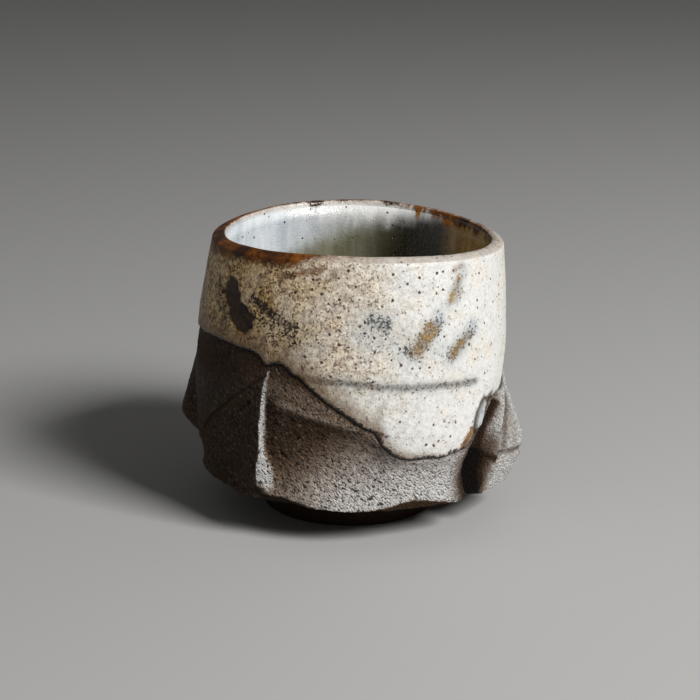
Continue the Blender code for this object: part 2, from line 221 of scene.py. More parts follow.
# %% Ridges: each track is (height, azimuth, reach) from the skirt up, and 1 where it fills the scoop
Track = namedtuple("Track", "points fill")
RIGHT_LUG = (
    Track(((8, 46.0, 0.0), (16, 48.0, 0.0), (22, 56.0, 0.0), (27, 63.5, 0.0), (32.5, 72.0, 0.0)), 0),
    Track(((8, 53.8, -1.9), (13, 54.4, -2.2), (18, 56.6, -1.7), (23, 61.0, -0.8), (28, 67.2, -0.2),
           (32.5, 73.5, 0.0)), 0),
    Track(((8, 55.8, 0.2), (12, 56.9, 0.9), (16, 58.8, 1.8), (19, 61.0, 1.9), (23, 64.2, 2.4),
           (28, 69.8, 1.6), (32.5, 75.0, 0.0)), 1),
    Track(((8, 66.0, 1.0), (13, 67.0, 2.5), (16.5, 67.5, 2.8), (20, 68.0, 2.0), (25, 70.8, 1.1),
           (28, 73.0, 0.7), (32.5, 76.0, 0.0)), 1),
    Track(((8, 80.0, 2.2), (9.5, 80.0, 3.0), (12.5, 80.0, 4.4), (14, 80.0, 4.85), (17, 80.0, 4.85),
           (19, 80.0, 4.5), (22, 80.0, 3.2), (25.5, 79.5, 1.9), (29, 78.5, 0.7), (32.5, 77.5, 0.0)), 1),
    Track(((8, 97.0, 0.0), (16, 99.0, 0.0), (25, 92.0, 0.0), (32.5, 84.0, 0.0)), 0),
)
FRONT_FIN = (
    Track(((8, -49.0, 0.0), (14, -48.0, 0.0), (25, -46.0, 0.0), (32, -41.0, 0.0), (38.4, -32.5, 0.0)), 0),
    Track(((8, -34.6, 0.6), (13, -34.8, 0.7), (17, -34.7, 0.6), (18.7, -34.0, 0.5), (20.8, -33.6, 0.4),
           (25, -33.3, 0.3), (29.6, -32.6, 0.3), (35.3, -32.2, 0.2), (38.4, -30.8, 0.0)), 1),
    Track(((8, -25.8, 0.0), (12.4, -26.8, 0.0), (15, -27.5, 0.0), (17.1, -28.8, 0.0), (18.5, -30.2, 0.0),
           (20.7, -31.4, 0.0), (25, -32.0, 0.0), (29.8, -31.0, 0.0), (33.4, -29.7, 0.0), (35.4, -30.4, 0.0),
           (38.4, -30.0, 0.0)), 0),
)
LEFT_LUG = (
    Track(((13, -122.0, 0.0), (18, -124.0, 0.0), (28, -112.0, 0.0), (39, -104.0, 0.0)), 0),
    Track(((13, -108.0, 0.3), (14.5, -108.0, 2.2), (18.2, -108.0, 4.85), (24, -106.0, 3.5), (30, -104.0, 1.7),
           (39, -101.0, 0.0)), 1),
    Track(((13, -97.0, 0.3), (14.5, -97.0, 2.0), (18.2, -97.0, 4.4), (24, -97.5, 3.1), (30, -98.0, 1.4),
           (39, -99.0, 0.0)), 1),
    Track(((13, -90.0, 0.0), (18, -89.5, 0.0), (39, -96.0, 0.0)), 0),
)
BACK_FIN = (
    Track(((8, 159.5, 0.0), (15, 159.5, 0.0), (32, 165.0, 0.0)), 0),
    Track(((8, 168.0, 1.0), (15, 168.0, 1.6), (24, 168.0, 0.9), (32, 168.0, 0.0)), 1),
    Track(((8, 175.0, 0.0), (15, 175.0, 0.0), (32, 170.5, 0.0)), 0),
)
RIDGES = (RIGHT_LUG, FRONT_FIN, LEFT_LUG, BACK_FIN)
print("ridges:", len(RIDGES), "with tracks:", sum(len(ridge) for ridge in RIDGES))

# %% How a ridge stands in its scoop
CREST_WIDTH = 0.5
CREST_FADE = 2.0


def ridge_shape(ridge, azimuth, height):
    """How much of the scoop a ridge fills, how far it reaches out, and how near its crests are."""
    middle = ridge[1].points[0][1]
    turn = turn_from(azimuth, middle)
    lines, reaches = [], []
    for track in ridge:
        levels, azimuths, reach = zip(*track.points)
        at = np.clip(height, levels[0], levels[-1])
        lines.append(smooth_through(list(zip(levels, azimuths)), at) - middle)
        reaches.append(smooth_through(list(zip(levels, reach)), at))
    fill, reach, crest = np.zeros_like(turn), np.zeros_like(turn), np.zeros_like(turn)
    for k in range(len(ridge) - 1):
        t = (turn - lines[k]) / np.maximum(lines[k + 1] - lines[k], 1e-6)
        inside = (t >= 0) & (t <= 1)
        fill = np.where(inside, ridge[k].fill + (ridge[k + 1].fill - ridge[k].fill) * t, fill)
        reach = np.where(inside, reaches[k] + (reaches[k + 1] - reaches[k]) * t, reach)
    for line, track in zip(lines, ridge):
        if track.fill:
            off = np.radians(turn - line) * BELLY_RADIUS
            crest = np.maximum(crest, np.exp(-((off / CREST_WIDTH) ** 2)))
    top = ridge[1].points[-1][0]
    alive = height < top
    return fill * alive, reach * alive, crest * step(0.0, CREST_FADE, top - height)


lug_reach = ridge_shape(RIGHT_LUG, np.array([80.0]), np.array([15.5]))[1]
print("right-hand lug reaches out", lug_reach.round(2), "mm")

# %% The whole form of the clay, with the crease across the right-hand lug
CREASE = ((56, 16.6), (62, 16.2), (70, 15.4), (80, 14.2), (92, 13.0))
CREASE_DEPTH, CREASE_WIDTH = 0.6, 0.55
CREASE_STARTS, CREASE_ENDS = (58.0, 66.0), (90.0, 80.0)


def clay_form(azimuth, height):
    """The clay's outer radius before it was torn or glazed, and how near a crest each point is."""
    shapes = [ridge_shape(ridge, azimuth, height) for ridge in RIDGES]
    fill = np.max([s[0] for s in shapes], axis=0)
    reach = np.sum([s[1] for s in shapes], axis=0)
    crest = np.max([s[2] for s in shapes], axis=0)
    across = np.clip(azimuth, CREASE[0][0], CREASE[-1][0])
    fold = np.exp(-((height - smooth_through(CREASE, across)) / CREASE_WIDTH) ** 2)
    fold = fold * step(*CREASE_STARTS, azimuth) * step(*CREASE_ENDS, azimuth)
    radius = thrown_radius(height) - scoop_depth(azimuth, height) * (1 - fill) + reach - CREASE_DEPTH * fold
    return radius, crest


lug, _ = clay_form(np.array([80.0]), np.array([15.5]))
print("radius over the right-hand lug:", lug.round(2))

# %% [markdown]
# ## The glaze's lower edge
#
# A cup dipped by hand leaves a line that runs high where it was held and low where it went in deepest, and
# the melt then creeps a little further. The edge is drawn first, because the clay is stained just below it
# and the glaze is thick just above it.

# %% The glaze edge as (azimuth, height)
GLAZE_EDGE = (
    (-165, 31.0), (-138, 29.0), (-112, 36.5), (-96, 39.8), (-83, 41.0), (-71, 41.5), (-61, 41.9), (-49, 41.9),
    (-43.5, 41.5), (-38.7, 41.5), (-36.3, 41.1), (-33.9, 40.1), (-32.2, 39.2), (-30.4, 39.2), (-27.6, 39.7),
    (-24.5, 39.5), (-20.9, 37.9), (-18.6, 37.4), (-13.4, 35.0), (-8.7, 32.8), (-1.7, 30.1), (3.4, 27.9),
    (8.2, 26.2), (9.7, 24.9), (11.1, 23.3), (13.1, 22.0), (15.5, 20.9), (18.6, 19.9), (22.2, 19.5),
    (29, 19.5), (33.4, 19.1), (38.4, 19.4), (44.2, 19.8), (46.2, 20.1), (48.3, 21.2), (49.6, 22.6),
    (51.8, 23.2), (54.2, 24.2), (55.4, 26.6), (57.2, 28.2), (62.8, 28.6), (69.2, 29.2), (72.5, 31.1),
    (76, 35.0), (80, 40.0), (84, 44.0), (92, 46.5), (105, 43.0), (130, 34.0), (155, 35.0),
)
EDGE_WOBBLE = ((3.0, 0.15), (1.3, 0.14))


def glaze_edge(azimuth):
    """The height of the glaze's lower edge, with a small wobble."""
    level = around(GLAZE_EDGE, azimuth)
    ring = place(azimuth, BELLY_RADIUS, np.zeros_like(azimuth))
    for size, height in EDGE_WOBBLE:
        level = level + height * wobble(ring, size, seed=7.3)
    return level


front_edge = glaze_edge(np.array([-30.4, 22.2])).round(1)
print("glaze edge over the fin and at its lowest, mm above the table:", front_edge)

# %% Columns round the cup, closer together at the fin, at the groove and in front
COLUMNS = 600
CLOSE_COLUMNS = ((-33.0, 7.0, 2.6), (57.0, 10.0, 2.2), (5.0, 60.0, 0.9))
turns = np.linspace(-180.0, 180.0, 3601)
crowding = 1.0 + sum(more * np.exp(-((turns - at) / spread) ** 2) for at, spread, more in CLOSE_COLUMNS)
laid = np.concatenate([[0.0], np.cumsum((crowding[1:] + crowding[:-1]) / 2)])
azimuths = np.interp(np.arange(COLUMNS) / COLUMNS * laid[-1], laid, turns)
edge = glaze_edge(azimuths)
column_step = np.radians(turn_from(np.roll(azimuths, -1), np.roll(azimuths, 1))) * BELLY_RADIUS
edge_slope = (np.roll(edge, -1) - np.roll(edge, 1)) / column_step
edge_lean = np.sqrt(1 + edge_slope**2)
print("glaze edge runs from", edge.min().round(1), "to", edge.max().round(1), "mm above the table")

# %% [markdown]
# ## Skins over rings
#
# Every piece here is a skin over rings of points, like a loft. A loft modifier or bridged loops could do
# it, but a numbered grid is quicker, and lets each point carry what the potter did there as a named
# attribute: how far it is from the glaze edge, or how much iron shows. The materials read those names.

# %% A function that skins rings into a mesh
def skin(name, rings, attributes=None, closed_section=False):
    """A closed mesh over rings of points in millimetres, with one value per point for each attribute."""
    rows, columns = rings.shape[:2]
    index = np.arange(rows * columns).reshape(rows, columns)
    right = np.roll(index, -1, axis=1)
    low, high = (index, np.roll(index, -1, axis=0)) if closed_section else (index[:-1], index[1:])
    low_right, high_right = np.roll(low, -1, axis=1), np.roll(high, -1, axis=1)
    faces = np.stack([low, low_right, high_right, high], axis=-1).reshape(-1, 4).tolist()
    points = rings.reshape(-1, 3)
    extra = {key: value.reshape(len(points), -1) for key, value in (attributes or {}).items()}
    if not closed_section:
        ends = ((0, index[0], right[0]), (-1, right[-1], index[-1]))
        for row, first, second in ends:
            pole = len(points)
            points = np.vstack([points, rings[row].mean(axis=0)])
            faces += [(b, pole, a) for a, b in zip(second.tolist(), first.tolist())]
            extra = {key: np.vstack([v, v[index[row]].mean(axis=0)]) for key, v in extra.items()}
    mesh = bpy.data.meshes.new(name)
    mesh.from_pydata((points * MM).tolist(), [], faces)
    for key, value in extra.items():
        kind, field = ("FLOAT_VECTOR", "vector") if value.shape[1] == 3 else ("FLOAT", "value")
        mesh.attributes.new(key, kind, "POINT").data.foreach_set(field, value.ravel())
    mesh.shade_smooth()
    piece = bpy.data.objects.new(name, mesh)
    bpy.context.scene.collection.objects.link(piece)
    print(name, len(points), "points,", len(faces), "faces")
    return piece


print("skins ready to lay")

# %% [markdown]
# ## The cut clay
#
# The clay is coarse. A knife drawn through it drags the grit along, so the scoops are covered in short
# slanting tears, while the strip under the glaze and the crests stay smoother. The larger tears are real
# relief in the mesh, and the finer ones are left to the material's bump.
# A helix gives the tears their slant: noise that is stretched along the twisted wall follows the knife
# all the way round, with no seam at the back.

# %% Grain that follows the knife
TEAR_SLANT = 0.62
TEAR_LENGTH = 0.95
TEAR_SIZE, GRIT_SIZE = 1.3, 0.7
TEAR_DEPTH, TEAR_SWELL, GRIT_DEPTH = 0.34, 0.12, 0.16


def knife_space(points):
    """The same points twisted, so that the knife's tears are upright and as long as they are wide."""
    x, y, z = np.moveaxis(points, -1, 0)
    twisted = np.arctan2(y, x) + z * TEAR_SLANT / BELLY_RADIUS
    radius = np.hypot(x, y)
    return np.stack([radius * np.cos(twisted), radius * np.sin(twisted), z * TEAR_LENGTH], axis=-1)


def torn(points):
    """Relief of the torn clay, in millimetres, without regard to where it is torn."""
    space = knife_space(points)
    coarse = wobble(space, TEAR_SIZE, seed=3.1)
    fine = wobble(space, GRIT_SIZE, seed=11.7)
    return TEAR_DEPTH * np.minimum(0.0, coarse + 0.15) + TEAR_SWELL * coarse + GRIT_DEPTH * fine


print("tears lean", round(math.degrees(math.atan(TEAR_SLANT))), "degrees from upright")

# %% Rows of the wall, and where the knife tore it
WALL_STEP, WALL_TOP = 0.35, 44.0
HIDDEN_FROM, HIDDEN_ROWS = 46.0, 7
SWAY_SIZE, SWAY = 9.0, 0.2
SMOOTH_SHARE = 0.45
top_level = LIP_HEIGHT - LIP_ROUNDING
hidden_levels = np.linspace(HIDDEN_FROM, top_level, HIDDEN_ROWS)
wall_levels = np.concatenate([np.arange(SKIRT_HEIGHT, WALL_TOP, WALL_STEP), hidden_levels])

grid_azimuth = azimuths[None, :]
level = wall_levels[:, None] + 0.0 * grid_azimuth
azimuth = grid_azimuth + 0.0 * level
at = place(azimuth, BELLY_RADIUS, level)
sway = wobble(at, SWAY_SIZE, seed=5.0)
form, crest = clay_form(azimuth + 0.5 * sway, level)
below_edge = (edge - level) / edge_lean
cut = step(-1.0, 2.5, around(SHOULDER, azimuth) - level) * (1 - 0.6 * crest)
bare = step(-0.6, 0.3, below_edge) * step(0.0, 2.0, below_edge + 0.8)
roughness = (SMOOTH_SHARE + (1 - SMOOTH_SHARE) * cut) * bare
radius = form + SWAY * sway + roughness * torn(place(azimuth, form, level))
print("clay wall rows:", len(wall_levels))

# %% The skirt: chipped all along its edge, and broken in two places
SKIRT_RISE = ((-180, 0), (-60, 0), (-45, 0.1), (-34, 1.0), (-28, 1.2), (-20, 0.3), (-8, 0), (60, 0), (120, 0))
BREAK = (
    (-37, 7.6), (-32, 9.0), (-26, 9.1), (-19, 8.5), (-9, 7.6),
    (4, 7.6), (10, 8.3), (18, 9.3), (24.5, 9.9), (31, 9.4), (37, 8.7), (44, 7.6),
)
BREAK_SLOPE = 0.6
CHIP_BAND, CHIP_DEPTH = 1.6, 0.3

skirt_near = np.exp(-((level - SKIRT_HEIGHT) / CHIP_BAND) ** 2)
chips = 0.6 * wobble(at, 4.5, seed=21.0) + 0.5 * wobble(at, 1.1, seed=22.0)
break_top = np.interp(turn_from(azimuth, 0.0), *np.transpose(BREAK), left=0.0, right=0.0)
broken = np.maximum(0.0, break_top - level)
radius = radius - CHIP_DEPTH * skirt_near * np.maximum(0.0, chips) - BREAK_SLOPE * broken
height = waved(azimuth, level) + skirt_near * (CHIP_DEPTH * chips + around(SKIRT_RISE, azimuth))
wall = place(azimuth, radius, height, lean(level))
print("the breaks cut in up to", (BREAK_SLOPE * broken.max()).round(2), "mm")


# %% Strokes drawn on the wall by azimuth and height
def strokes(azimuth, height, points, width):
    """1 on a stroke through (azimuth, height) points, fading to 0 at width millimetres from it."""
    to_mm = math.radians(1.0) * BELLY_RADIUS
    x, y = turn_from(azimuth, points[0][0]) * to_mm, height
    line = [(turn_from(a, points[0][0]) * to_mm, h) for a, h in points]
    nearest = np.full(np.shape(x), 1e6)
    for (x0, y0), (x1, y1) in zip(line, line[1:]):
        length = (x1 - x0) ** 2 + (y1 - y0) ** 2
        t = np.clip(((x - x0) * (x1 - x0) + (y - y0) * (y1 - y0)) / length, 0.0, 1.0)
        nearest = np.minimum(nearest, np.hypot(x - x0 - t * (x1 - x0), y - y0 - t * (y1 - y0)))
    return 1 - step(0.0, width, nearest)


def strongest(azimuth, height, drawn):
    """The strongest of several (points, width, share) strokes at each point."""
    return np.max([share * strokes(azimuth, height, line, width) for line, width, share in drawn], axis=0)


print("a 2 mm stroke, 1 mm from its middle:", strokes(np.zeros(1), np.ones(1), ((-9, 0), (9, 0)), 2.0))

# %% Where the clay is painted pale: painted sheen and highlight where the wall faces the light, and one pale chip
PALE_SKIRT = (
    (-60, 0.0), (-36, 0.05), (-29, 0.35), (-18, 0.55), (-5, 0.8), (12, 0.87), (28, 0.96), (44, 1.0),
    (49, 0.7), (53, 0.1), (56, 0.2), (60, 0.85), (70, 1.0), (90, 0.8), (130, 0.35), (180, 0.4), (250, 0.2),
)
PALE_TOP = (
    (-60, 20), (-30, 21), (-18, 25), (-5, 31), (10, 37), (46, 42), (62, 40), (72, 46), (92, 56), (130, 28),
    (200, 24), (260, 20),
)
PALE_FULL = 8.5
# The stroke along the skirt from 44 to 53 degrees is a pale chip; the others are painted highlight on the
# shoulder band, the lug's ridge and faces, and beside the groove.
SHEEN_AND_CHIP = (
    (((-30, 35.0), (-20, 33.6), (-8, 30.9), (4, 28.0), (11, 24.5)), 3.6, 0.22),
    (((-25, 31.6), (-12, 29.8), (2, 27.2)), 1.9, 0.36),
    (((72.5, 31), (69.8, 28), (64.4, 23), (61.8, 20)), 1.5, 1.2),
    (((79, 31), (80, 26), (80, 21), (80, 16.5)), 6.0, 1.2),
    (((44, 8.2), (53, 8.4)), 1.6, 1.3),
    (((51, 21), (56, 24), (62, 27.5)), 1.8, 0.5),
    (((60.5, 20.0), (63.0, 23.0), (66.5, 26.0)), 1.8, 0.8),
)
print("pale strokes on the clay:", len(SHEEN_AND_CHIP))


# %% How pale the clay is painted, as sheen and highlight, with a painted highlight on the lit flank of the front fin
def fin_flank(azimuth, height):
    """1 on the narrow flank of the front fin that faces the light, 0 elsewhere."""
    crest, foot = ([(h, a) for h, a, _ in track.points] for track in FRONT_FIN[1:])
    at = np.clip(height, crest[0][0], crest[-1][0])
    start, end = smooth_through(crest, at) - 0.2, smooth_through(foot, at)
    across = (azimuth - start) / np.maximum(end - start, 2.0)
    spread = step(20.0, 16.0, height)
    lit = step(0.85 + 0.1 * spread, 0.35 + 0.15 * spread, across) * (0.25 + 0.75 * step(8.0, 14.0, height))
    return (across > 0) * lit * step(0.0, 1.0, crest[-1][0] - height)


# The lower wall is painted paler toward the skirt and toward the right: painted sheen where it faces the
# light.
pale = around(PALE_SKIRT, azimuth + 1.2 * sway) * step(around(PALE_TOP, azimuth), PALE_FULL, level)
sheen_and_chip = np.clip(np.maximum(pale, strongest(azimuth + 1.2 * sway, level, SHEEN_AND_CHIP)), 0.0, 1.0)
whole = 1 - step(0.0, 0.5, broken)
# The fin's flank that faces the light is painted pale as well: a painted highlight.
sheen_and_chip = np.maximum(sheen_and_chip, fin_flank(azimuth + 0.5 * sway, level)) * whole
print("mean paleness of the wall:", sheen_and_chip.mean().round(2))

# %% Painted shade in the groove, creases, valleys and breaks, and where fingers closed the grain
# Every stroke here is painted shade: the groove and slit beside the right-hand lug, the lug's valley and
# crease, the crease below the left shoulder, the shaded left side, the foot of the front fin and the rounded
# edge beside the groove.
PAINTED_SHADE = (
    (((54.6, 7), (55.0, 13), (56.8, 17)), 1.9, 1.3),
    (((51.0, 7), (51.5, 13), (54.5, 18)), 8.0, 0.6),
    (((56.4, 15), (58.8, 19.4), (61.0, 22.4), (63.8, 24.8), (66.6, 26.8)), 0.8, 0.8),
    (((56.0, 16.5), (59.5, 15.8), (61.5, 15.0)), 1.4, 0.85),
    (((72.5, 26), (71.0, 23), (68.5, 20), (66.5, 17.5)), 2.4, 0.24),
    (((-31.8, 37.0), (-43, 32.2), (-55, 27.0), (-64, 22.8), (-71, 19.5)), 0.7, 0.8),
    (((-80, 37), (-58, 37.5), (-38, 38)), 7.0, 0.4),
    (((63, 16.2), (70, 15.4), (80, 14.6)), 1.0, 0.35),
    (((-34.6, 10.6), (-32.4, 8.2)), 1.9, 1.0),
    (((47.5, 7), (47.5, 13), (50.5, 18)), 4.0, 0.5),
)
# The breaks in the skirt face down, so they are painted darker as shade.
BREAK_SHADE = 0.55
OPEN_GRAIN = (
    (-180, 1.0), (-112, 0.6), (-90, 0.4), (-70, 1.0), (22, 1.0), (38, 0.65), (50, 0.5), (58, 0.35), (88, 0.4),
    (110, 1.0),
)
painted_shade = np.minimum(1.0, strongest(azimuth + 0.6 * sway, level, PAINTED_SHADE))
painted_shade = np.maximum(painted_shade, BREAK_SHADE * (1 - whole))
print("charred strokes on the clay:", len(PAINTED_SHADE))

# %% Rings under the wall, and over the lip
UNDER_ROWS, SEAT_ROWS, CLAY_LIP_ROWS = 26, 10, 5
UNDER_CURVE, UNDER_RELIEF = 1.4, 0.16
SEAT_HEIGHT, SEAT_RADIUS = FOOT_HEIGHT + SEAM_GAP, FOOT_RADIUS + FOOT_FLARE

under_share = np.linspace(0.0, 1.0, UNDER_ROWS + 1)[:-1, None]
under_radius = SEAT_RADIUS + (radius[0] - SEAT_RADIUS) * under_share
under_height = SEAT_HEIGHT + (height[0] - SEAT_HEIGHT) * under_share**UNDER_CURVE
under_az = grid_azimuth + 0.0 * under_share
lumps = wobble(place(under_az, under_radius, under_height), 1.2, seed=4.0) * np.sin(math.pi * under_share)
under = place(under_az, under_radius, under_height + UNDER_RELIEF * lumps)
seat_share = np.linspace(0.04, 1.0, SEAT_ROWS + 1)[:-1, None]
seat = place(grid_azimuth + 0.0 * seat_share, SEAT_RADIUS * seat_share, SEAT_HEIGHT)

half = LIP_THICKNESS / 2
lip_turns = np.linspace(0.0, math.pi, CLAY_LIP_ROWS + 1)[1:, None]
lip_radius = LIP_RADIUS - half + half * np.cos(lip_turns)
lip_top = top_level + LIP_ROUNDING * np.sin(lip_turns) + lip_rise(grid_azimuth)
lip = place(grid_azimuth + 0.0 * lip_turns, lip_radius, lip_top, lean(LIP_HEIGHT))
print("the foot seats", SEAT_HEIGHT, "mm up, within a radius of", SEAT_RADIUS, "mm")


# %% The well, which the clay and its lining share
WELL_STOP = 0.97


def well(offset, steps):
    """Rings down the inside from the lip to the middle of the floor, stood off by offset."""
    a = np.linspace(0.0, math.pi / 2 * WELL_STOP, steps)[:, None]
    across = np.cos(a) ** (2 / WELL_SQUARENESS)
    down = np.sin(a) ** (2 / WELL_SQUARENESS)
    level = top_level - (WELL_DEPTH - LIP_ROUNDING - offset) * down
    rise = level + lip_rise(grid_azimuth) * share_up(level)
    radius = (LIP_RADIUS - LIP_THICKNESS - offset) * across
    return place(grid_azimuth + 0.0 * a, radius + 0.0 * grid_azimuth, rise, lean(level)), level


CLAY_WELL_ROWS = 14
clay_well, _ = well(0.0, CLAY_WELL_ROWS)
print("floor of the well:", clay_well[-1, :, 2].mean().round(1), "mm above the table")

# %% The skin of the clay body
# The underside is painted dark as shade.
BARE, COVERED = 20.0, -20.0
UNDER_SHADE, SHEEN_CURVE = 0.75, 1.05
clay_rings = np.concatenate([seat, under, wall, lip, clay_well[1:]])
before_wall = len(seat) + len(under)
after_wall = len(clay_rings) - before_wall - len(wall)


def padded_rows(values, before, after):
    """Values on the wall's rows, with before and after on the rows under and over it."""
    under_values = np.full((before_wall, COLUMNS), before)
    over_values = np.full((after_wall, COLUMNS), after)
    return np.concatenate([under_values, values, over_values])


clay_body = skin("clay_body_cut", clay_rings, {
    "below_edge_mm": padded_rows(below_edge, BARE, COVERED),
    "open_grain": padded_rows(around(OPEN_GRAIN, azimuth), 1.0, 0.0),
    "crest": padded_rows(crest, 0.0, 0.0),
    "sheen_and_chip": padded_rows(sheen_and_chip**SHEEN_CURVE * (1 - painted_shade), 0.0, 0.0),
    "painted_shade": padded_rows(painted_shade, UNDER_SHADE, 0.0),
    "knife_mm": knife_space(clay_rings),
})

# %% [markdown]
# ## The foot ring
#
# The foot is a coil of the same clay, luted under the body and trimmed on the wheel, so it is rounder and
# smoother than the cut wall. It stands on a flat that the wheel left, and its outer edge is softened.
# A Screw modifier could turn it, but carrying its section round the same columns gives its points the same
# named attributes, so both pieces share one clay.

# %% Rings of the foot
FOOT_SIDE_ROWS = 14


def foot_section():
    """Radius and height round the foot's section, from the outer edge of the flat and back to it."""
    outer, inner = FOOT_RADIUS, FOOT_RADIUS - FOOT_WIDTH
    corners = [
        (outer - FOOT_CHAMFER, 0.0), (outer - 0.2 * FOOT_CHAMFER, 0.25 * FOOT_CHAMFER),
        (outer, FOOT_CHAMFER), (outer + FOOT_FLARE, FOOT_HEIGHT),
        (inner - FOOT_FLARE, FOOT_HEIGHT), (inner, FOOT_CHAMFER), (inner + FOOT_CHAMFER, 0.0),
    ]
    steps = (1, 2, FOOT_SIDE_ROWS, 3, FOOT_SIDE_ROWS, 2, 3)
    line = []
    for (r0, z0), (r1, z1), parts in zip(corners, corners[1:] + corners[:1], steps):
        line += [(r0 + (r1 - r0) * i / parts, z0 + (z1 - z0) * i / parts) for i in range(parts)]
    return np.array(line)


section = foot_section()
print("points round the foot's section:", len(section))

# %% The skin of the foot
TRIM_DEPTH = 0.16
foot_r, foot_z = section[:, :1], section[:, 1:]
foot_az = grid_azimuth[:, ::2] + 0.0 * foot_r
free = step(0.0, 1.0, foot_z) * step(0.0, 0.6, FOOT_HEIGHT - foot_z)
trim = wobble(place(foot_az, foot_r, foot_z * 3.0), 2.4, seed=14.0)
outward = np.where(foot_r > FOOT_RADIUS - FOOT_WIDTH / 2, 1.0, -1.0)
foot_rings = place(foot_az, foot_r - TRIM_DEPTH * free * outward * (1 + trim), foot_z + 0.0 * foot_az)
# The foot stands in the cup's shadow, so it is painted dark as shade.
foot_finish = {"below_edge_mm": BARE, "open_grain": 0.6, "crest": 0.0, "sheen_and_chip": 0.0, "painted_shade": 0.65}
foot_values = {key: np.full(foot_rings.shape[:2], value) for key, value in foot_finish.items()}
foot = skin("foot_ring_trimmed", foot_rings, {**foot_values, "knife_mm": foot_rings}, closed_section=True)

# %% [markdown]
# ## The glaze
#
# The glaze is a glassy coat over half a millimetre thick. It rolls over in a bead at its lower edge, runs
# thin over the lip, and dips into scars in the clay. A solidified copy of the clay could stand for it, but
# it would end in a square step. Here its rows start on the edge curve itself, and a short curve says how
# the thickness rises from nothing to the bead and settles to the coat.

# %% How thick the glaze is, by distance from its lower edge in millimetres
COAT = 0.75
GLAZE_BEAD = (
    (0.0, -0.12), (0.06, 0.12), (0.16, 0.28), (0.35, 0.42), (0.65, 0.52), (1.1, 0.58), (2.5, 0.66),
    (6.0, COAT), (60.0, COAT),
)
EDGE_ROWS = np.array([0.0, 0.03, 0.06, 0.11, 0.16, 0.25, 0.35, 0.5, 0.65, 0.85, 1.1, 1.4, 1.7])
OUTER_ROWS = 108
print("coat", COAT, "mm thick, full", GLAZE_BEAD[-2][0], "mm above its edge")

# %% Where the coat was knocked, ran or shows the wheel
SCAR = ((-53.0, 53.2), (-51.4, 51.8), (-48.8, 49.8), (-46.0, 48.4), (-43.6, 47.4))
SCAR_WIDTH, SCAR_DEPTH = 5.4, 0.42
BEAD = ((51.4, 24.4), (52.6, 26.4), (54.4, 28.0))
BEAD_WIDTH, BEAD_HEIGHT = 2.6, 0.45
THROWING_LINE = ((-19, 37.7), (-10, 37.2), (0, 36.9), (10, 36.1), (18, 35.6), (33, 35.0), (49, 34.2))
LINE_WIDTH, LINE_DEPTH = 1.1, 0.13
print("scar", SCAR_DEPTH, "mm deep, drop", BEAD_HEIGHT, "mm high")

# %% Rings of the outer coat
ROW_SPREAD = 1.15
RIPPLE, COAT_SWAY = 0.07, 0.22
LIP_BAND = 8.0

edge_levels = edge + EDGE_ROWS[:, None] * edge_lean
share = np.linspace(0.0, 1.0, OUTER_ROWS + 1)[1:, None] ** ROW_SPREAD
coat_levels = np.concatenate([edge_levels, edge_levels[-1] + (top_level - edge_levels[-1]) * share])
azimuth = grid_azimuth + 0.0 * coat_levels
from_edge = (coat_levels - edge) / edge_lean
surface = place(azimuth, BELLY_RADIUS, coat_levels)
sway = wobble(surface, SWAY_SIZE, seed=5.0)
ripple = wobble(surface, 3.4, seed=31.0)
form, _ = clay_form(azimuth + 0.9 * sway, coat_levels)
chipped = ripple + 1.6 * wobble(surface, 1.1, seed=33.0)
scar_floor = step(0.4, 0.62, strokes(azimuth + chipped, coat_levels, SCAR, SCAR_WIDTH))
groove = strokes(azimuth, coat_levels, THROWING_LINE, LINE_WIDTH)
settled = step(0.3, 2.5, from_edge)
thickness = smooth_through(GLAZE_BEAD, from_edge)
thickness = thickness + settled * (RIPPLE * ripple - SCAR_DEPTH * scar_floor - LINE_DEPTH * groove)
pool = step(0.2, 0.8, strokes(azimuth, coat_levels, BEAD, BEAD_WIDTH))
thickness = thickness + BEAD_HEIGHT * pool * step(0.0, 0.5, from_edge)
lip_near = step(LIP_BAND, 0.0, top_level - coat_levels)
coat_radius = form + (COAT_SWAY * sway + thickness) * (1 - lip_near) + COAT * lip_near
coat = place(azimuth, coat_radius, waved(azimuth, coat_levels), lean(coat_levels))
print("outer coat rows:", len(coat))

# %% Rings behind the outer coat, where it lies on the clay
BACKING_ROWS, BACKING_DEPTH = 9, 0.25
back_azimuth = azimuth[:BACKING_ROWS]
backing_levels = edge + (top_level - edge) * np.linspace(1.0, 0.0, BACKING_ROWS)[:, None]
backing_radius = clay_form(back_azimuth, backing_levels)[0] - BACKING_DEPTH
backing = place(back_azimuth, backing_radius, waved(back_azimuth, backing_levels), lean(backing_levels))
print("backing rows:", len(backing))

# %% Rings of the lining in the well
LIP_COAT = 0.75
LINING_ROWS, LINING_BACK_ROWS, LINING_BACK = 84, 12, 0.2
lining, lining_levels = well(LIP_COAT, LINING_ROWS)
lining_levels = lining_levels + 0.0 * grid_azimuth
lining_back, lining_back_levels = well(-LINING_BACK, LINING_BACK_ROWS)
print("lining rows:", len(lining))

# %% Rings of the lip: out and up from its middle, in millimetres
LIP_SECTION = (
    (1.50, 0.00), (1.49, 0.12), (1.46, 0.25), (1.41, 0.36), (1.32, 0.45), (1.15, 0.56), (0.90, 0.72),
    (0.60, 0.91), (0.30, 1.09), (0.00, 1.25), (-0.30, 1.37), (-0.55, 1.42), (-0.80, 1.41), (-1.02, 1.33),
    (-1.20, 1.18), (-1.33, 0.98), (-1.42, 0.74), (-1.47, 0.48), (-1.50, 0.22), (-1.50, 0.00),
)
LIP_WAVE = 0.11

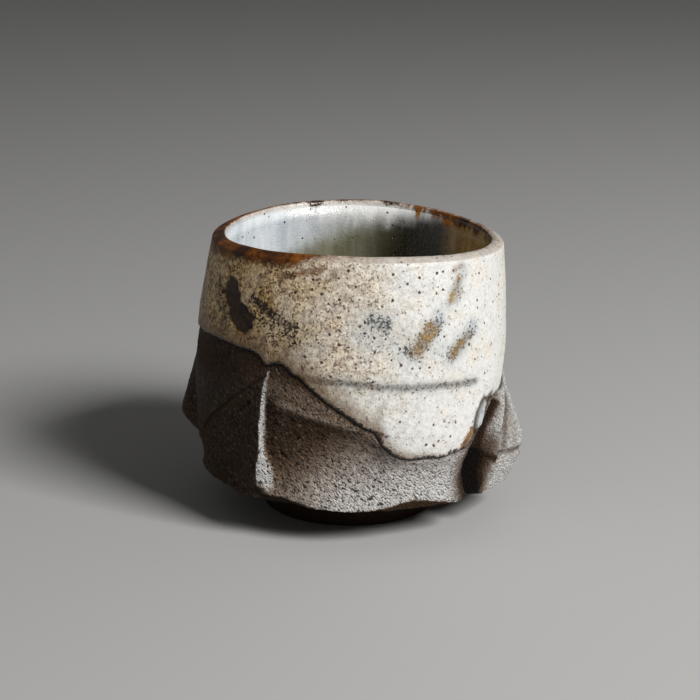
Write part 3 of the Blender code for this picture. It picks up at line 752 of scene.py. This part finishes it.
across, up = (np.array(v)[:, None] for v in zip(*LIP_SECTION))
lip_level = top_level + up
azimuth_lip = grid_azimuth + 0.0 * up
at_lip = place(azimuth_lip, LIP_RADIUS, 0.0 * azimuth_lip)
hand = wobble(at_lip, 11.0, seed=8.0) + 0.4 * wobble(at_lip, 3.0, seed=9.0)
lip_height = lip_level + lip_rise(grid_azimuth) * share_up(top_level) + LIP_WAVE * (hand - 1.2) * up
over_lip = place(azimuth_lip, LIP_RADIUS - half + across, lip_height, lean(top_level))
run = np.linspace(0.0, 1.0, len(up))[:, None, None]
over_lip = over_lip + (coat[-1] - over_lip[0]) * (1 - run) ** 2 + (lining[0] - over_lip[-1]) * run**2
print("lip rows:", len(up))

# %% Rows tucked under the next coat, so that light runs on over the seams
TUCK, TUCK_IN, TUCK_DOWN = 0.1, 0.2, 0.5
UNDER_LIP_ROWS = 5

ring = azimuth_lip[:1]
inward = place(ring, -TUCK, 0.0 * ring)
coat_end, lip_start = over_lip[2:3] + inward, coat[-2:-1] + inward
tuck_radius = LIP_RADIUS - LIP_THICKNESS - LIP_COAT + TUCK_IN
tucked = place(ring, tuck_radius, lip_height[-1:] - TUCK_DOWN, lean(top_level))
over_lip = np.concatenate([lip_start, over_lip, tucked])
back_turns = np.linspace(math.pi, 0.0, UNDER_LIP_ROWS)[:, None]
under_lip = place(azimuth_lip[:UNDER_LIP_ROWS], LIP_RADIUS - half + half * np.cos(back_turns),
                  top_level - TUCK + lip_rise(grid_azimuth), lean(LIP_HEIGHT))
print("rows over and under the lip:", len(over_lip), len(under_lip))

# %% [markdown]
# ## What the fire left
#
# Iron in the clay bleeds into the glaze where it is thin: over the lip on the side that got the most heat,
# along the lower edge, and in scars where the coat was knocked off before firing. Ash leaves small blue-grey
# clouds, and iron grit leaves specks. They could be painted on an unwrapped image. Here they are placed by
# azimuth and height as attributes, so a mark runs on from the outside over the lip without a break. Some
# marks are painted shade rather than fired: the darker right side of the well and a wide stroke on the far
# left.

# %% What changes round the cup, as (azimuth, share) or (azimuth, millimetres down from the lip)
SPECK_SHARE = (
    (-150, 0.8), (-90, 0.95), (-45, 0.88), (-22, 0.9), (-5, 0.86), (12, 0.64), (32, 0.36), (60, 0.2),
    (85, 0.2), (110, 0.3), (150, 0.6),
)
WARM_SHARE = (
    (-150, 0.6), (-90, 1.0), (-45, 0.95), (-25, 0.68), (-5, 0.36), (12, 0.14), (30, 0.02), (60, 0.0),
    (100, 0.1), (150, 0.4),
)
LIP_IRON = (
    (-150, -0.2), (-120, 0.5), (-98, 2.0), (-80, 2.8), (-62, 2.6), (-50, 2.0), (-38, 2.1), (-30, 2.4),
    (-24, 1.6), (-18, 0.4), (-10, -0.8), (10, -1.4), (40, -1.4), (70, -1.2), (100, -0.6), (160, -0.4),
)
WELL_IRON = (
    (-170, -0.8), (-160, 1.2), (-152, -0.8), (-100, -1.0), (-40, -0.8), (40, 0.0), (80, 1.0), (105, 1.0),
    (130, 1.6), (150, 0.4), (170, -0.6),
)
TO_RIGHT = ((-180, 0), (-90, -90), (0, 0), (90, 90))
print("iron runs down the lip up to", max(down for _, down in LIP_IRON), "mm")

# %% Strokes, as (azimuth, height) points, width in millimetres and strength
IRON_STROKES = (
    (((-29, 57.2), (-22, 58.3), (-14, 59.2)), 2.0, 0.55),
)
OCHRE_STROKES = (
    (((22.8, 43.0), (25.3, 45.0), (28.0, 47.4)), 2.7, 1.0),
    (((37.2, 41.6), (40.6, 43.0), (43.6, 44.4)), 2.6, 1.0),
    (((36.8, 52.8), (38.6, 54.8), (40.2, 57.0)), 2.0, 0.9),
    (((38.0, 58.9), (41.6, 59.7)), 1.5, 0.8),
)
ASH_STROKES = (
    (((21, 42.6), (25, 44.6), (31, 49.2)), 4.4, 1.05),
    (((28, 43.0), (36, 42.2)), 4.0, 0.6),
    (((36, 41.0), (41, 43.2), (47, 46.0)), 4.2, 1.05),
    (((36.0, 51.8), (43, 58.4)), 3.4, 0.65),
    (((6, 49.6), (11, 48.4)), 4.0, 1.1),
    (((3, 46.5), (18, 44.6)), 5.0, 0.6),
)
SOOT_AND_SHADE_STROKES = (
    (((-40, 52.2), (-34, 50.9), (-28, 48.9), (-21, 47.4)), 2.6, 1.15),
    (((-36, 49.5), (-28, 47.0), (-19, 45.5)), 6.0, 0.75),
    (((-42, 44.0), (-28, 43.4)), 5.0, 0.5),
    # This wide stroke on the far left is painted shade, where the cup turns from the light; the others are
    # soot and smears.
    (((-86, 56.0), (-78, 51.0), (-72, 45.0)), 9.0, 0.7),
    (((-61, 53.0), (-58, 50.0), (-53, 46.8)), 4.4, 0.8),
    (((9.6, 26.4), (11.8, 26.0)), 1.5, 1.0),
    (((53.6, 29.0), (58, 29.4), (62.5, 30.0)), 1.3, 1.0),
)
AMBER_STROKES = (
    (((44.0, 20.9), (45.6, 22.0), (47.8, 23.6)), 2.2, 1.1),
    (((69.5, 30.6), (72.5, 33.0), (76, 37.0), (80, 42.0), (83, 46.0)), 1.5, 0.9),
)
SOFT_LINE_WIDTH = 2.4
print("strokes:", sum(map(len, (IRON_STROKES, OCHRE_STROKES, ASH_STROKES, SOOT_AND_SHADE_STROKES, AMBER_STROKES))))


# %% One function for all that the fire left
def marks(azimuth, level, side, from_edge):
    """What the fire left at each point, with some painted shade in the well and on the far left. Side is 0
    outside, 1 inside, and runs across the lip.
    """
    azimuth, level, side, from_edge = np.broadcast_arrays(azimuth, level, side, from_edge)
    at = place(azimuth, BELLY_RADIUS, level)
    ragged = wobble(at, 2.6, seed=41.0) + 0.6 * wobble(at, 0.9, seed=44.0)
    outside = 1 - side
    drop = LIP_HEIGHT + LIP_COAT - level
    lip_iron = step(2.6, -1.6, drop - around(LIP_IRON, azimuth) - 0.7 * ragged)
    well_iron = step(1.6, -0.8, drop - around(WELL_IRON, azimuth) - 1.6 * ragged)
    drawn = strongest(azimuth + 1.3 * ragged, level, IRON_STROKES)
    sunk = drop + 1.2 * ragged
    to_right = around(TO_RIGHT, azimuth) * (1 - 0.9 * step(36.0, 47.0, drop))
    far_right = step(50.0, 72.0, to_right)
    return {
        "from_edge_mm": from_edge + 0.0,
        "speck": around(SPECK_SHARE, azimuth) * (1 - 0.85 * side),
        "warm": around(WARM_SHARE, azimuth) * outside,
        "iron": np.maximum(lip_iron * outside + well_iron * side, drawn * outside),
        "ochre": strongest(azimuth + 1.3 * ragged, level, OCHRE_STROKES) * outside,
        "bevel": step(1.3, 0.8, drop),
        "fringe": 4.0 * side * outside * step(80.0, 40.0, np.abs(azimuth)),
        "ash": strongest(azimuth + 2.0 * ragged, level, ASH_STROKES) * outside,
        "soot_and_shade": np.minimum(1.0, strongest(azimuth + 2.0 * ragged, level, SOOT_AND_SHADE_STROKES)) * outside,
        "amber": strongest(azimuth + ragged, level, AMBER_STROKES) * outside,
        "scar": step(0.35, 0.75, strokes(azimuth + 2.0 * ragged, level, SCAR, SCAR_WIDTH)) * outside,
        "line": strokes(azimuth, level + 0.15 * ragged, THROWING_LINE, SOFT_LINE_WIDTH) * outside,
        "bead": strokes(azimuth + 0.4 * ragged, level, BEAD, BEAD_WIDTH) * outside,
        "lining": side + 0.0,
        "haze": step(3.0, 6.5, sunk - 0.06 * to_right) * side,
        # Greyer toward the right of the well: painted shade.
        "well_shade": step(-50.0, 45.0, to_right + 2.0 * drop) * side,
        "olive": step(4.0, 10.0, sunk + 0.13 * to_right) * side,
        # Darker toward the right and lower down in the well: partly olive-brown glaze, partly painted shade.
        "brown": step(-14.0, 32.0, to_right + 0.8 * (drop - 8.0)) * side,
        "toffee": far_right * step(21.0, 8.0, sunk) * side,
    }


coat_marks = marks(azimuth, coat_levels, 0.0, from_edge)
coat_marks["scar"] = scar_floor
print("marks on the outer coat:", ", ".join(coat_marks))


# %% The skins of the three coats
FAR_FROM_EDGE, BACK_FROM_EDGE = 25.0, 9.0


def joined(*parts):
    """Attributes of several runs of rings, one after the other."""
    return {key: np.concatenate([part[key] for part in parts]) for key in parts[0]}


backing_marks = marks(back_azimuth, backing_levels, 0.0, BACK_FROM_EDGE)
end_marks = marks(azimuth[-1:], coat_levels[-1:], 0.0, from_edge[-1:])
outer_glaze = skin("outer_glaze_dipped", np.concatenate([coat, coat_end, backing]),
                   joined(coat_marks, end_marks, backing_marks), closed_section=True)
lip_marks = marks(azimuth_lip, lip_level, step(-0.9, -1.4, across), FAR_FROM_EDGE)
under_marks = marks(azimuth_lip[:UNDER_LIP_ROWS + 1], LIP_HEIGHT - 1.0, 1.0, FAR_FROM_EDGE)
rim_glaze = skin("rim_glaze_thin", np.concatenate([over_lip, under_lip]),
                 joined(end_marks, lip_marks, under_marks), closed_section=True)
lining_marks = marks(grid_azimuth, lining_levels, 1.0, FAR_FROM_EDGE)
back_marks = marks(grid_azimuth, lining_back_levels[::-1], 1.0, FAR_FROM_EDGE)
inner_glaze = skin("inner_glaze_poured", np.concatenate([lining_back[::-1], lining]),
                   joined(back_marks, lining_marks))

# %% [markdown]
# ## Materials
#
# Three finishes cover the cup: clay torn by the knife, the same clay trimmed on the wheel, and the ash
# glaze. Their patterns are built from noise and cells sized in millimetres and read in the cup's own space,
# so they stay on the surface from every side. Colours are written as they look and turned to linear light.
# A photograph could be wrapped round the cup instead, but it would hold the light of its own day. Here each
# finish is built up as the kiln did it: a body colour, and thin layers laid over it one by one. Some of the
# layers are painted shade and painted highlight, not fired colour.

# %% Colours and one function for nodes
def colour(text):
    """A linear colour from an sRGB hex such as #a0b1c2."""
    parts = [int(text[i:i + 2], 16) / 255 for i in (1, 3, 5)]
    linear = [c / 12.92 if c <= 0.04045 else ((c + 0.055) / 1.055) ** 2.4 for c in parts]
    return (*linear, 1.0)


def node(tree, kind, sockets=None, **settings):
    """Add a node. Sockets maps inputs, by name or place, to values, hex colours, nodes or outputs."""
    made = tree.nodes.new("ShaderNode" + kind)
    for name, value in settings.items():
        setattr(made, name, value)
    for key, value in (sockets or {}).items():
        usable = [s for s in made.inputs if s.enabled]
        target = usable[key] if isinstance(key, int) else next(s for s in usable if s.name == key)
        if isinstance(value, bpy.types.Node):
            value = next(s for s in value.outputs if s.enabled)
        if isinstance(value, bpy.types.NodeSocket):
            tree.links.new(value, target)
        else:
            target.default_value = colour(value) if isinstance(value, str) else value
    return made


print("cream white in linear light:", [round(c, 3) for c in colour("#e6e3db")[:3]])


# %% Empty materials, and layers of colour
def material(name):
    """An empty material and its tree of nodes."""
    made = bpy.data.materials.new(name)
    made.use_nodes = True
    made.node_tree.nodes.clear()
    return made, made.node_tree


def per_mm(size):
    """A texture scale for a pattern that repeats every size millimetres, in a space measured in metres."""
    return 1.0 / (size * MM)


def lay_over(tree, body, layers):
    """Lay colours over a body colour. A layer is where it shows, the most it may cover, and its colour."""
    for share, most, over in layers:
        if most != 1.0:
            share = node(tree, "Math", {0: share, 1: most}, operation="MULTIPLY")
        body = node(tree, "Mix", {"Factor": share, "A": body, "B": over}, data_type="RGBA")
    return body


print("a pattern of 2 mm repeats", round(per_mm(2.0)), "times in a metre")

# %% [markdown]
# ### Cut stoneware
#
# Fired hard without glaze, the clay is a dark warm brown with a dull sheen: light that rakes across it picks
# out every torn grain. Where the wall faces the light its grains are painted pale, a painted sheen and
# highlight, and a few grains in the dark clay get painted glints. The gaps between grains are painted nearly
# black, and the groove, the creases, the breaks, the underside and the foot are painted darker: all painted
# shade. A dark halo follows the glaze edge, partly iron and partly painted shadow under the glaze. Fingers
# closed the grain on the lugs, and the wheel left it shallow on the foot. Real grit is finer than this in
# places. It is drawn about half a millimetre wide, so that it shows.
# Scanned clay could be wrapped round the cup, but it wouldn't follow the knife. The tears here are cells and
# noise, read in the same twisted space as the relief in the mesh.

# %% Torn grain, in millimetres: 18 grains, 26 bits of grit and 16 bends to a centimetre
GRAIN_WIDTH, GRIT_WIDTH, BEND_WIDTH = 10 / 18, 10 / 26, 10 / 16
BEND_REACH = 0.7


def torn_grain(tree, knife):
    """How open the clay is, how far each point is from its grain's middle, and chances for each grain."""
    bend = node(tree, "TexNoise", {"Vector": knife, "Scale": 1 / BEND_WIDTH, "Detail": 2.0})
    bent = node(tree, "VectorMath", {0: bend.outputs["Color"], 1: (BEND_REACH,) * 3, 2: knife},
                operation="MULTIPLY_ADD")
    cells = node(tree, "TexVoronoi", {"Vector": bent, "Scale": 1 / GRAIN_WIDTH})
    grit = node(tree, "TexNoise", {
        "Vector": knife, "Scale": 1 / GRIT_WIDTH, "Detail": 3.0, "Roughness": 0.65,
    })
    gap = node(tree, "Math", {0: grit, 1: 1.5, 2: cells.outputs["Distance"]}, operation="MULTIPLY_ADD")
    chance = node(tree, "SeparateColor", {"Color": cells.outputs["Color"]})
    return gap, cells.outputs["Distance"], chance


print("a grain is", round(GRAIN_WIDTH, 2), "mm wide")

# %% Stoneware torn by the knife, and trimmed on the wheel
PATCH_WIDTH = 7.0
CUT_TEAR, TRIMMED_TEAR = 0.8, 0.5
CLAY_ROUGH, SHEEN_ROUGH, SHADE_ROUGH, CLAY_SHEEN = 0.48, 0.3, 0.9, 0.22


def stoneware(name, tear):
    """Bare stoneware with tears of a depth in millimetres."""
    made, tree = material(name)
    space = node(tree, "TexCoord").outputs["Object"]
    knife = node(tree, "Attribute", attribute_name="knife_mm").outputs["Vector"]
    below, open_grain, crest, sheen_and_chip, painted_shade = (
        node(tree, "Attribute", attribute_name=key).outputs["Fac"]
        for key in ("below_edge_mm", "open_grain", "crest", "sheen_and_chip", "painted_shade")
    )
    gap, off_middle, chance = torn_grain(tree, knife)
    patches = node(tree, "TexNoise", {"Vector": space, "Scale": per_mm(PATCH_WIDTH), "Detail": 3.0})
    # The shade attribute is mapped twice: to a brown painted shade and to a near-black painted shade.
    tip, hole, core, few, half_shade, deep_shade, edge_iron_and_shadow = (
        node(tree, "MapRange", {"Value": value, "From Min": start, "From Max": full})
        for value, start, full in (
            (gap, 1.8, 1.15), (gap, 1.36, 1.56), (off_middle, 0.5, 0.2),
            (chance.outputs["Green"], 0.66, 0.95), (painted_shade, 0.0, 0.5), (painted_shade, 0.4, 1.0), (below, 0.6, 0.1),
        )
    )
    uneven = node(tree, "MapRange", {"Value": chance.outputs["Red"], "To Min": 0.7, "To Max": 1.6})
    pale = node(tree, "Math", {0: sheen_and_chip, 1: uneven}, operation="MULTIPLY", use_clamp=True)
    # A few grains in the dark clay are painted light: painted glints.
    lit = node(tree, "Math", {0: core, 1: few}, operation="MULTIPLY")
    # The gaps between grains take the pit colour and, where the grain is open, the hole colour: dark painted
    # shade between the grains.
    hole = node(tree, "Math", {0: hole, 1: open_grain}, operation="MULTIPLY")
    brown = lay_over(tree, "#4a3722", ((patches, 1.0, "#593b1b"),))
    # Where the clay is painted pale for sheen and highlight, its grains and pits turn nearly white.
    ash = lay_over(tree, "#c79c70", ((sheen_and_chip, 1.0, "#fdfcfa"),))
    pit = lay_over(tree, "#1b1007", ((sheen_and_chip, 1.0, "#e6e1da"),))
    grain = lay_over(tree, brown, ((pale, 1.0, ash), (lit, 0.6, "#bcab97")))
    # Crests are painted a little paler: a painted highlight.
    body = lay_over(tree, pit, (
        (tip, 1.0, grain), (hole, 0.9, "#1a120b"), (crest, 0.15, "#cfc8be"), (half_shade, 0.85, "#432c13"),
        # The dark band under the glaze edge is partly iron and partly painted shadow under the glaze.
        (deep_shade, 0.94, "#060301"), (edge_iron_and_shadow, 0.85, "#1a110a"),
    ))
    relief = node(tree, "Bump", {"Height": gap, "Strength": 1.0, "Distance": tear * MM}, invert=True)
    dull = node(tree, "MapRange", {"Value": sheen_and_chip, "To Min": CLAY_ROUGH, "To Max": SHEEN_ROUGH})
    dull = node(tree, "Mix", {"Factor": painted_shade, "A": dull, "B": SHADE_ROUGH})
    shader = node(tree, "BsdfPrincipled", {
        "Base Color": body, "Normal": relief, "Roughness": dull, "Specular IOR Level": CLAY_SHEEN,
    })
    node(tree, "OutputMaterial", {"Surface": shader})
    return made


cut_clay = stoneware("stoneware_torn_by_knife", CUT_TEAR)
trimmed_clay = stoneware("stoneware_trimmed_on_wheel", TRIMMED_TEAR)
clay_body.data.materials.append(cut_clay)
foot.data.materials.append(trimmed_clay)
print("clay nodes:", len(cut_clay.node_tree.nodes))

# %% [markdown]
# ### Ash glaze
#
# The glaze is opaque cream with a satin skin. Seen close it is full of iron specks and open pinholes, and
# it is broken by soft clouds. It turns amber and brown where it thins, black along its lower edge, partly
# from iron and partly as painted shadow under the bead, and olive and wetter-looking in the well, where ash
# settled. The well's right side is painted darker, partly the glaze's olive-brown and partly painted shade,
# and the drop of glass is painted darker at its rim and paler in its middle, painted shade and highlight. A
# clear shell with light scattered inside it could stand for the glaze, but so little light comes through that
# colours laid on one satin surface look the same.
# The smallest specks are drawn a little larger than they are, so that they show.

# %% Patterns in the glaze: clouds, mottle and a sugary grain, in millimetres
CLOUD_WIDTH, MOTTLE_WIDTH, SUGAR_WIDTH = 6.0, 1.5, 0.5
SHAKE, STIR = 0.4, 1.8

glaze, tree = material("ash_glaze_dipped_and_fired")
space = node(tree, "TexCoord").outputs["Object"]
mark = {key: node(tree, "Attribute", attribute_name=key).outputs["Fac"] for key in coat_marks}
clouds, mottle, sugar = (
    node(tree, "TexNoise", {"Vector": space, "Scale": per_mm(size), "Detail": detail, "Roughness": rough})
    for size, detail, rough in ((CLOUD_WIDTH, 4.0, 0.6), (MOTTLE_WIDTH, 3.0, 0.6), (SUGAR_WIDTH, 2.0, 0.65))
)
sugary = node(tree, "Math", {0: sugar, 1: 0.65}, operation="MULTIPLY")
grain = node(tree, "Math", {0: mottle, 1: 0.35, 2: sugary}, operation="MULTIPLY_ADD")
shaken = node(tree, "VectorMath", {0: sugar.outputs["Color"], 1: (SHAKE * MM,) * 3, 2: space},
              operation="MULTIPLY_ADD")
stirred = node(tree, "VectorMath", {0: mottle.outputs["Color"], 1: (STIR * MM,) * 3, 2: shaken},
               operation="MULTIPLY_ADD")
drift = node(tree, "Math", {0: clouds, 1: 1.2, 2: -0.6}, operation="MULTIPLY_ADD")
stain, dense = (
    node(tree, "Math", {0: mark[key], 1: drift}, operation="ADD", use_clamp=True) for key in ("warm", "speck")
)
print("marks the glaze reads:", len(mark))


# %% Grains that crowd together where a mark is strong
def grainy(share, few, many):
    """Grains over the few level where share is 0, and over the many level where it is 1."""
    level = node(tree, "MapRange", {"Value": share, "To Min": few, "To Max": many})
    over = node(tree, "Math", {0: grain, 1: level}, operation="SUBTRACT")
    return node(tree, "MapRange", {"Value": over, "From Min": -0.03, "From Max": 0.04})


print("nodes so far:", len(tree.nodes))

# %% Colours that drift from one hue to another: along streaks, with rust, or with the warm side's stain
TONES = {
    "cream": ("stain", "#e6e5e1", "#f5d69c"), "thin": ("stain", "#c3c0b8", "#9c7038"),
    "fleck": ("stain", "#a39c90", "#6d4a22"), "dark_fleck": ("stain", "#857c70", "#1d1007"),
    "pooled": ("streaky", "#bcc6cd", "#eceff0"), "olive": ("streaky", "#66624a", "#8d8c76"),
    "toffee": ("streaky", "#b57b26", "#e6bb72"), "worn": ("rusty", "#937b66", "#c9beb0"),
    "umber": ("rusty", "#5a4120", "#a48245"), "rust": ("rusty", "#431c02", "#93560c"),
    "amber": ("rusty", "#3a2207", "#a8741c"), "glass": ("rusty", "#98a1a5", "#cfd5d7"),
    "scar": ("rusty", "#1a0d04", "#4a2f12"),
}
STREAK_WIDTH, STREAK_STRETCH = 3.4, 5.0

streak_space = node(tree, "Mapping", {"Vector": space, "Scale": (1.0, 1.0, 1 / STREAK_STRETCH)})
streaks = node(tree, "TexNoise", {"Vector": streak_space, "Scale": per_mm(STREAK_WIDTH), "Detail": 3.0})
drifts = {
    "stain": stain,
    "streaky": node(tree, "MapRange", {"Value": streaks, "From Min": 0.3, "From Max": 0.7}),
    "rusty": node(tree, "MapRange", {"Value": mottle, "From Min": 0.36, "From Max": 0.66}),
}
tone = {key: lay_over(tree, low, ((drifts[by], 1.0, high),)) for key, (by, low, high) in TONES.items()}
print("drifting colours:", ", ".join(tone))

# %% The coat, curdled where it is thin, and the lining
CURD_WIDTH = 0.9

curds = node(tree, "TexVoronoi", {"Vector": stirred, "Scale": per_mm(CURD_WIDTH)})
chance = node(tree, "SeparateColor", {"Color": curds.outputs["Color"]})
between = node(tree, "Math", {0: chance.outputs["Red"], 1: 0.4, 2: curds.outputs["Distance"]},
               operation="MULTIPLY_ADD")
thin = node(tree, "MapRange", {"Value": between, "From Min": 0.45, "From Max": 1.1})
most = node(tree, "MapRange", {"Value": mark["speck"], "From Min": 0.2, "From Max": 0.85, "To Min": 0.4})
# The pooled glaze is painted greyer toward the right of the well, as painted shade.
hazy = lay_over(tree, tone["pooled"], ((mark["well_shade"], 1.0, "#98948a"),))
# The olive goes nearly black toward the right of the well, partly its own colour and partly painted shade.
deep = lay_over(tree, tone["olive"], ((mark["brown"], 1.0, "#1f1603"),))
lined = lay_over(tree, "#f4f3ef", (
    (mark["haze"], 1.0, hazy), (mark["olive"], 1.0, deep), (mark["toffee"], 1.0, tone["toffee"]),
))
body = lay_over(tree, tone["cream"], (
    (thin, most, tone["thin"]), (grainy(dense, 0.64, 0.53), 0.9, tone["fleck"]),
    (grainy(dense, 0.71, 0.59), 0.95, tone["dark_fleck"]), (mark["lining"], 1.0, lined),
))
print("nodes so far:", len(tree.nodes))

# %% Clouds of ash, the grey throwing line, and soot with some painted shade
line_core = node(tree, "MapRange", {"Value": mark["line"], "From Min": 0.6, "From Max": 1.0})
body = lay_over(tree, body, (
    (mark["ash"], 0.5, "#94a1a9"), (grainy(mark["ash"], 0.72, 0.48), 0.85, "#2f3234"),
    (mark["line"], 0.3, "#74726e"), (line_core, 0.55, "#4d4a45"),
    (grainy(mark["line"], 0.76, 0.53), 0.75, "#3f3c38"),
    (mark["soot_and_shade"], 0.35, "#4a3a28"), (grainy(mark["soot_and_shade"], 0.72, 0.44), 0.95, "#180e06"),
))
print("nodes so far:", len(tree.nodes))

# %% Iron specks and open pinholes: spacing in millimetres, largest size as a share of it, how often, colour
SPECKS = (
    (0.8, 0.26, 0.5, "#5d4a36"), (1.5, 0.17, 0.9, "#33170b"), (2.7, 0.13, 0.7, "#6d3f22"),
    (2.4, 0.13, 1.3, "#280f07"), (1.8, 0.2, 3.0, "#1f0b05"),
)
SPECK_BLUR = 0.05

for spacing, largest, often, hue in SPECKS:
    cells = node(tree, "TexVoronoi", {"Vector": shaken, "Scale": per_mm(spacing)})
    chance = node(tree, "SeparateColor", {"Color": cells.outputs["Color"]})
    size = node(tree, "Math", {0: chance.outputs["Red"], 1: largest}, operation="MULTIPLY")
    near = node(tree, "Math", {0: size, 1: cells.outputs["Distance"]}, operation="SUBTRACT")
    share = node(tree, "Math", {0: dense, 1: often}, operation="MULTIPLY")
    shown = node(tree, "Math", {0: share, 1: chance.outputs["Green"]}, operation="GREATER_THAN")
    blur = SPECK_BLUR / spacing
    dot = node(tree, "MapRange", {"Value": near, "From Min": -blur, "From Max": blur, "To Max": 0.9})
    dot = node(tree, "Math", {0: dot, 1: shown}, operation="MULTIPLY")
    body = lay_over(tree, body, ((dot, 1.0, hue),))
print("kinds of speck:", len(SPECKS))

# %% Iron over the lip, and strokes of ochre and amber
sooty = node(tree, "MapRange", {"Value": clouds, "From Min": 0.50, "From Max": 0.60})
rust = lay_over(tree, tone["rust"], ((sooty, 0.85, "#140701"),))
bled = node(tree, "Math", {0: mark["iron"], 1: 1.9, 2: -1.55}, operation="MULTIPLY_ADD")
bled = node(tree, "Math", {0: grain, 1: 2.4, 2: bled}, operation="MULTIPLY_ADD", use_clamp=True)
body = lay_over(tree, body, (
    (mark["bevel"], 0.6, tone["worn"]), (grainy(mark["fringe"], 0.75, 0.50), 1.0, "#6a4420"),
    (mark["ochre"], 0.6, tone["umber"]), (grainy(mark["ochre"], 0.80, 0.45), 0.8, tone["umber"]),
    (bled, 1.0, rust), (grainy(mark["amber"], 0.80, 0.36), 0.95, tone["amber"]),
))
print("nodes so far:", len(tree.nodes))

# %% The dark lower edge, iron with painted shadow; the drop of glass, with painted shade and highlight; and the scar
# Near its lower edge the glaze is browned by iron, then black: partly iron and partly painted shadow under
# the bead.
ragged = node(tree, "Math", {0: grain, 1: 4.0, 2: -2.0}, operation="MULTIPLY_ADD")
edge_at = node(tree, "Math", {0: mark["from_edge_mm"], 1: ragged}, operation="ADD")
browned_to = node(tree, "MapRange", {
    "Value": mark["speck"], "From Min": 0.35, "From Max": 0.9, "To Min": 1.3, "To Max": 5.5,
})
browned, black_edge_and_shadow, drop_rim_shade, glassy, clear = (
    node(tree, "MapRange", {"Value": value, "From Min": start, "From Max": full})
    for value, start, full in (
        (edge_at, browned_to, 0.3), (edge_at, 0.7, 0.4),
        (mark["bead"], 0.05, 0.3), (mark["bead"], 0.3, 0.5), (mark["bead"], 0.5, 0.9),
    )
)
# The drop is painted darker at its rim and paler in its middle: painted shade and painted highlight that show
# its roundness.
drop = lay_over(tree, "#6d665b", ((clear, 1.0, tone["glass"]),))
body = lay_over(tree, body, (
    (browned, 0.8, "#664826"), (black_edge_and_shadow, 1.0, "#140d08"), (drop_rim_shade, 0.9, "#2b1c10"), (glassy, 1.0, drop),
    (mark["scar"], 1.0, tone["scar"]),
))
print("nodes so far:", len(tree.nodes))

# %% Satin skin, wetter in the well and on the drop
MOTTLE_RELIEF, SUGAR_RELIEF, PIT_DEPTH = 0.25, 0.16, 0.25
SATIN_LOW, SATIN_HIGH, WET_ROUGH = 0.34, 0.47, 0.18

ripples = node(tree, "Bump", {"Height": mottle, "Strength": 0.6, "Distance": MOTTLE_RELIEF * MM})
peel = node(tree, "Bump", {
    "Height": sugar, "Strength": 0.8, "Distance": SUGAR_RELIEF * MM, "Normal": ripples,
})
pits = node(tree, "Bump", {"Height": dot, "Strength": 0.8, "Distance": PIT_DEPTH * MM, "Normal": peel},
            invert=True)
satin = node(tree, "MapRange", {
    "Value": clouds, "From Min": 0.3, "From Max": 0.7, "To Min": SATIN_LOW, "To Max": SATIN_HIGH,
})
wet = node(tree, "Math", {0: mark["lining"], 1: mark["bead"]}, operation="MAXIMUM")
gloss = node(tree, "Mix", {"Factor": wet, "A": satin, "B": WET_ROUGH})
shader = node(tree, "BsdfPrincipled", {"Base Color": body, "Normal": pits, "Roughness": gloss})
node(tree, "OutputMaterial", {"Surface": shader})
for coated in (outer_glaze, rim_glaze, inner_glaze):
    coated.data.materials.append(glaze)
print("glaze nodes:", len(tree.nodes))

# %% [markdown]
# ## Floor and light
#
# A plain pale floor and one large soft light from the right, with an even grey-white sky to fill the rest.
# Lamps all round would be more even, but they would flatten the cup. This light stands well to the side,
# because it is the raking light that shows the torn clay.

# %% Floor of matt paper, which takes a soft shadow and adds no colour
FLOOR_SIZE = 6000.0

bpy.ops.mesh.primitive_plane_add(size=FLOOR_SIZE * MM)
floor = bpy.context.object
floor.name = "floor"
paper, tree = material("paper_floor")
shader = node(tree, "BsdfPrincipled", {"Base Color": "#bdbcba", "Roughness": 0.8})
node(tree, "OutputMaterial", {"Surface": shader})
floor.data.materials.append(paper)
print("floor", FLOOR_SIZE / 1000, "m wide")

# %% Key light, aimed at the middle of the cup
KEY_AZIMUTH, KEY_ELEVATION, KEY_DISTANCE, KEY_SIZE, KEY_POWER = 48.0, 38.0, 1000.0, 350.0, 11.0
KEY_AIM = 30.0

key = bpy.data.lights.new("key", "AREA")
key.shape = "SQUARE"
key.size = KEY_SIZE * MM
key.energy = KEY_POWER
key_light = bpy.data.objects.new("key", key)
bpy.context.scene.collection.objects.link(key_light)
reach = KEY_DISTANCE * math.cos(math.radians(KEY_ELEVATION))
rise = KEY_DISTANCE * math.sin(math.radians(KEY_ELEVATION))
key_light.location = place(np.array(KEY_AZIMUTH), reach, rise + KEY_AIM) * MM
key_light.rotation_euler = (math.radians(90.0 - KEY_ELEVATION), 0.0, math.radians(KEY_AZIMUTH))
print("key light at", [round(v, 2) for v in key_light.location])

# %% Sky and view
SKY_LEVEL = 0.1

sky = bpy.data.worlds.new("sky")
sky.use_nodes = True
sky.node_tree.nodes["Background"].inputs["Color"].default_value = colour("#f4f4f4")
sky.node_tree.nodes["Background"].inputs["Strength"].default_value = SKY_LEVEL
bpy.context.scene.world = sky
bpy.context.scene.view_settings.view_transform = "Standard"
print("sky level:", SKY_LEVEL)

# %% [markdown]
# ## Tied to the frame
#
# Each skin stands for one piece of the construction model and is tied to the frame's root body; the piece
# itself is hidden.

# %% Tie the skins to the frame
PIECES = (
    (clay_body, "clay_body", "cut_stoneware"), (foot, "foot_ring", "trimmed_stoneware"),
    (outer_glaze, "outer_glaze", "white_ash_glaze"), (rim_glaze, "rim_glaze", "iron_brown_glaze"),
    (inner_glaze, "inner_glaze", "grey_lining_glaze"),
)
for piece, part, finish in PIECES:
    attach(piece, "root")
    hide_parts(part)
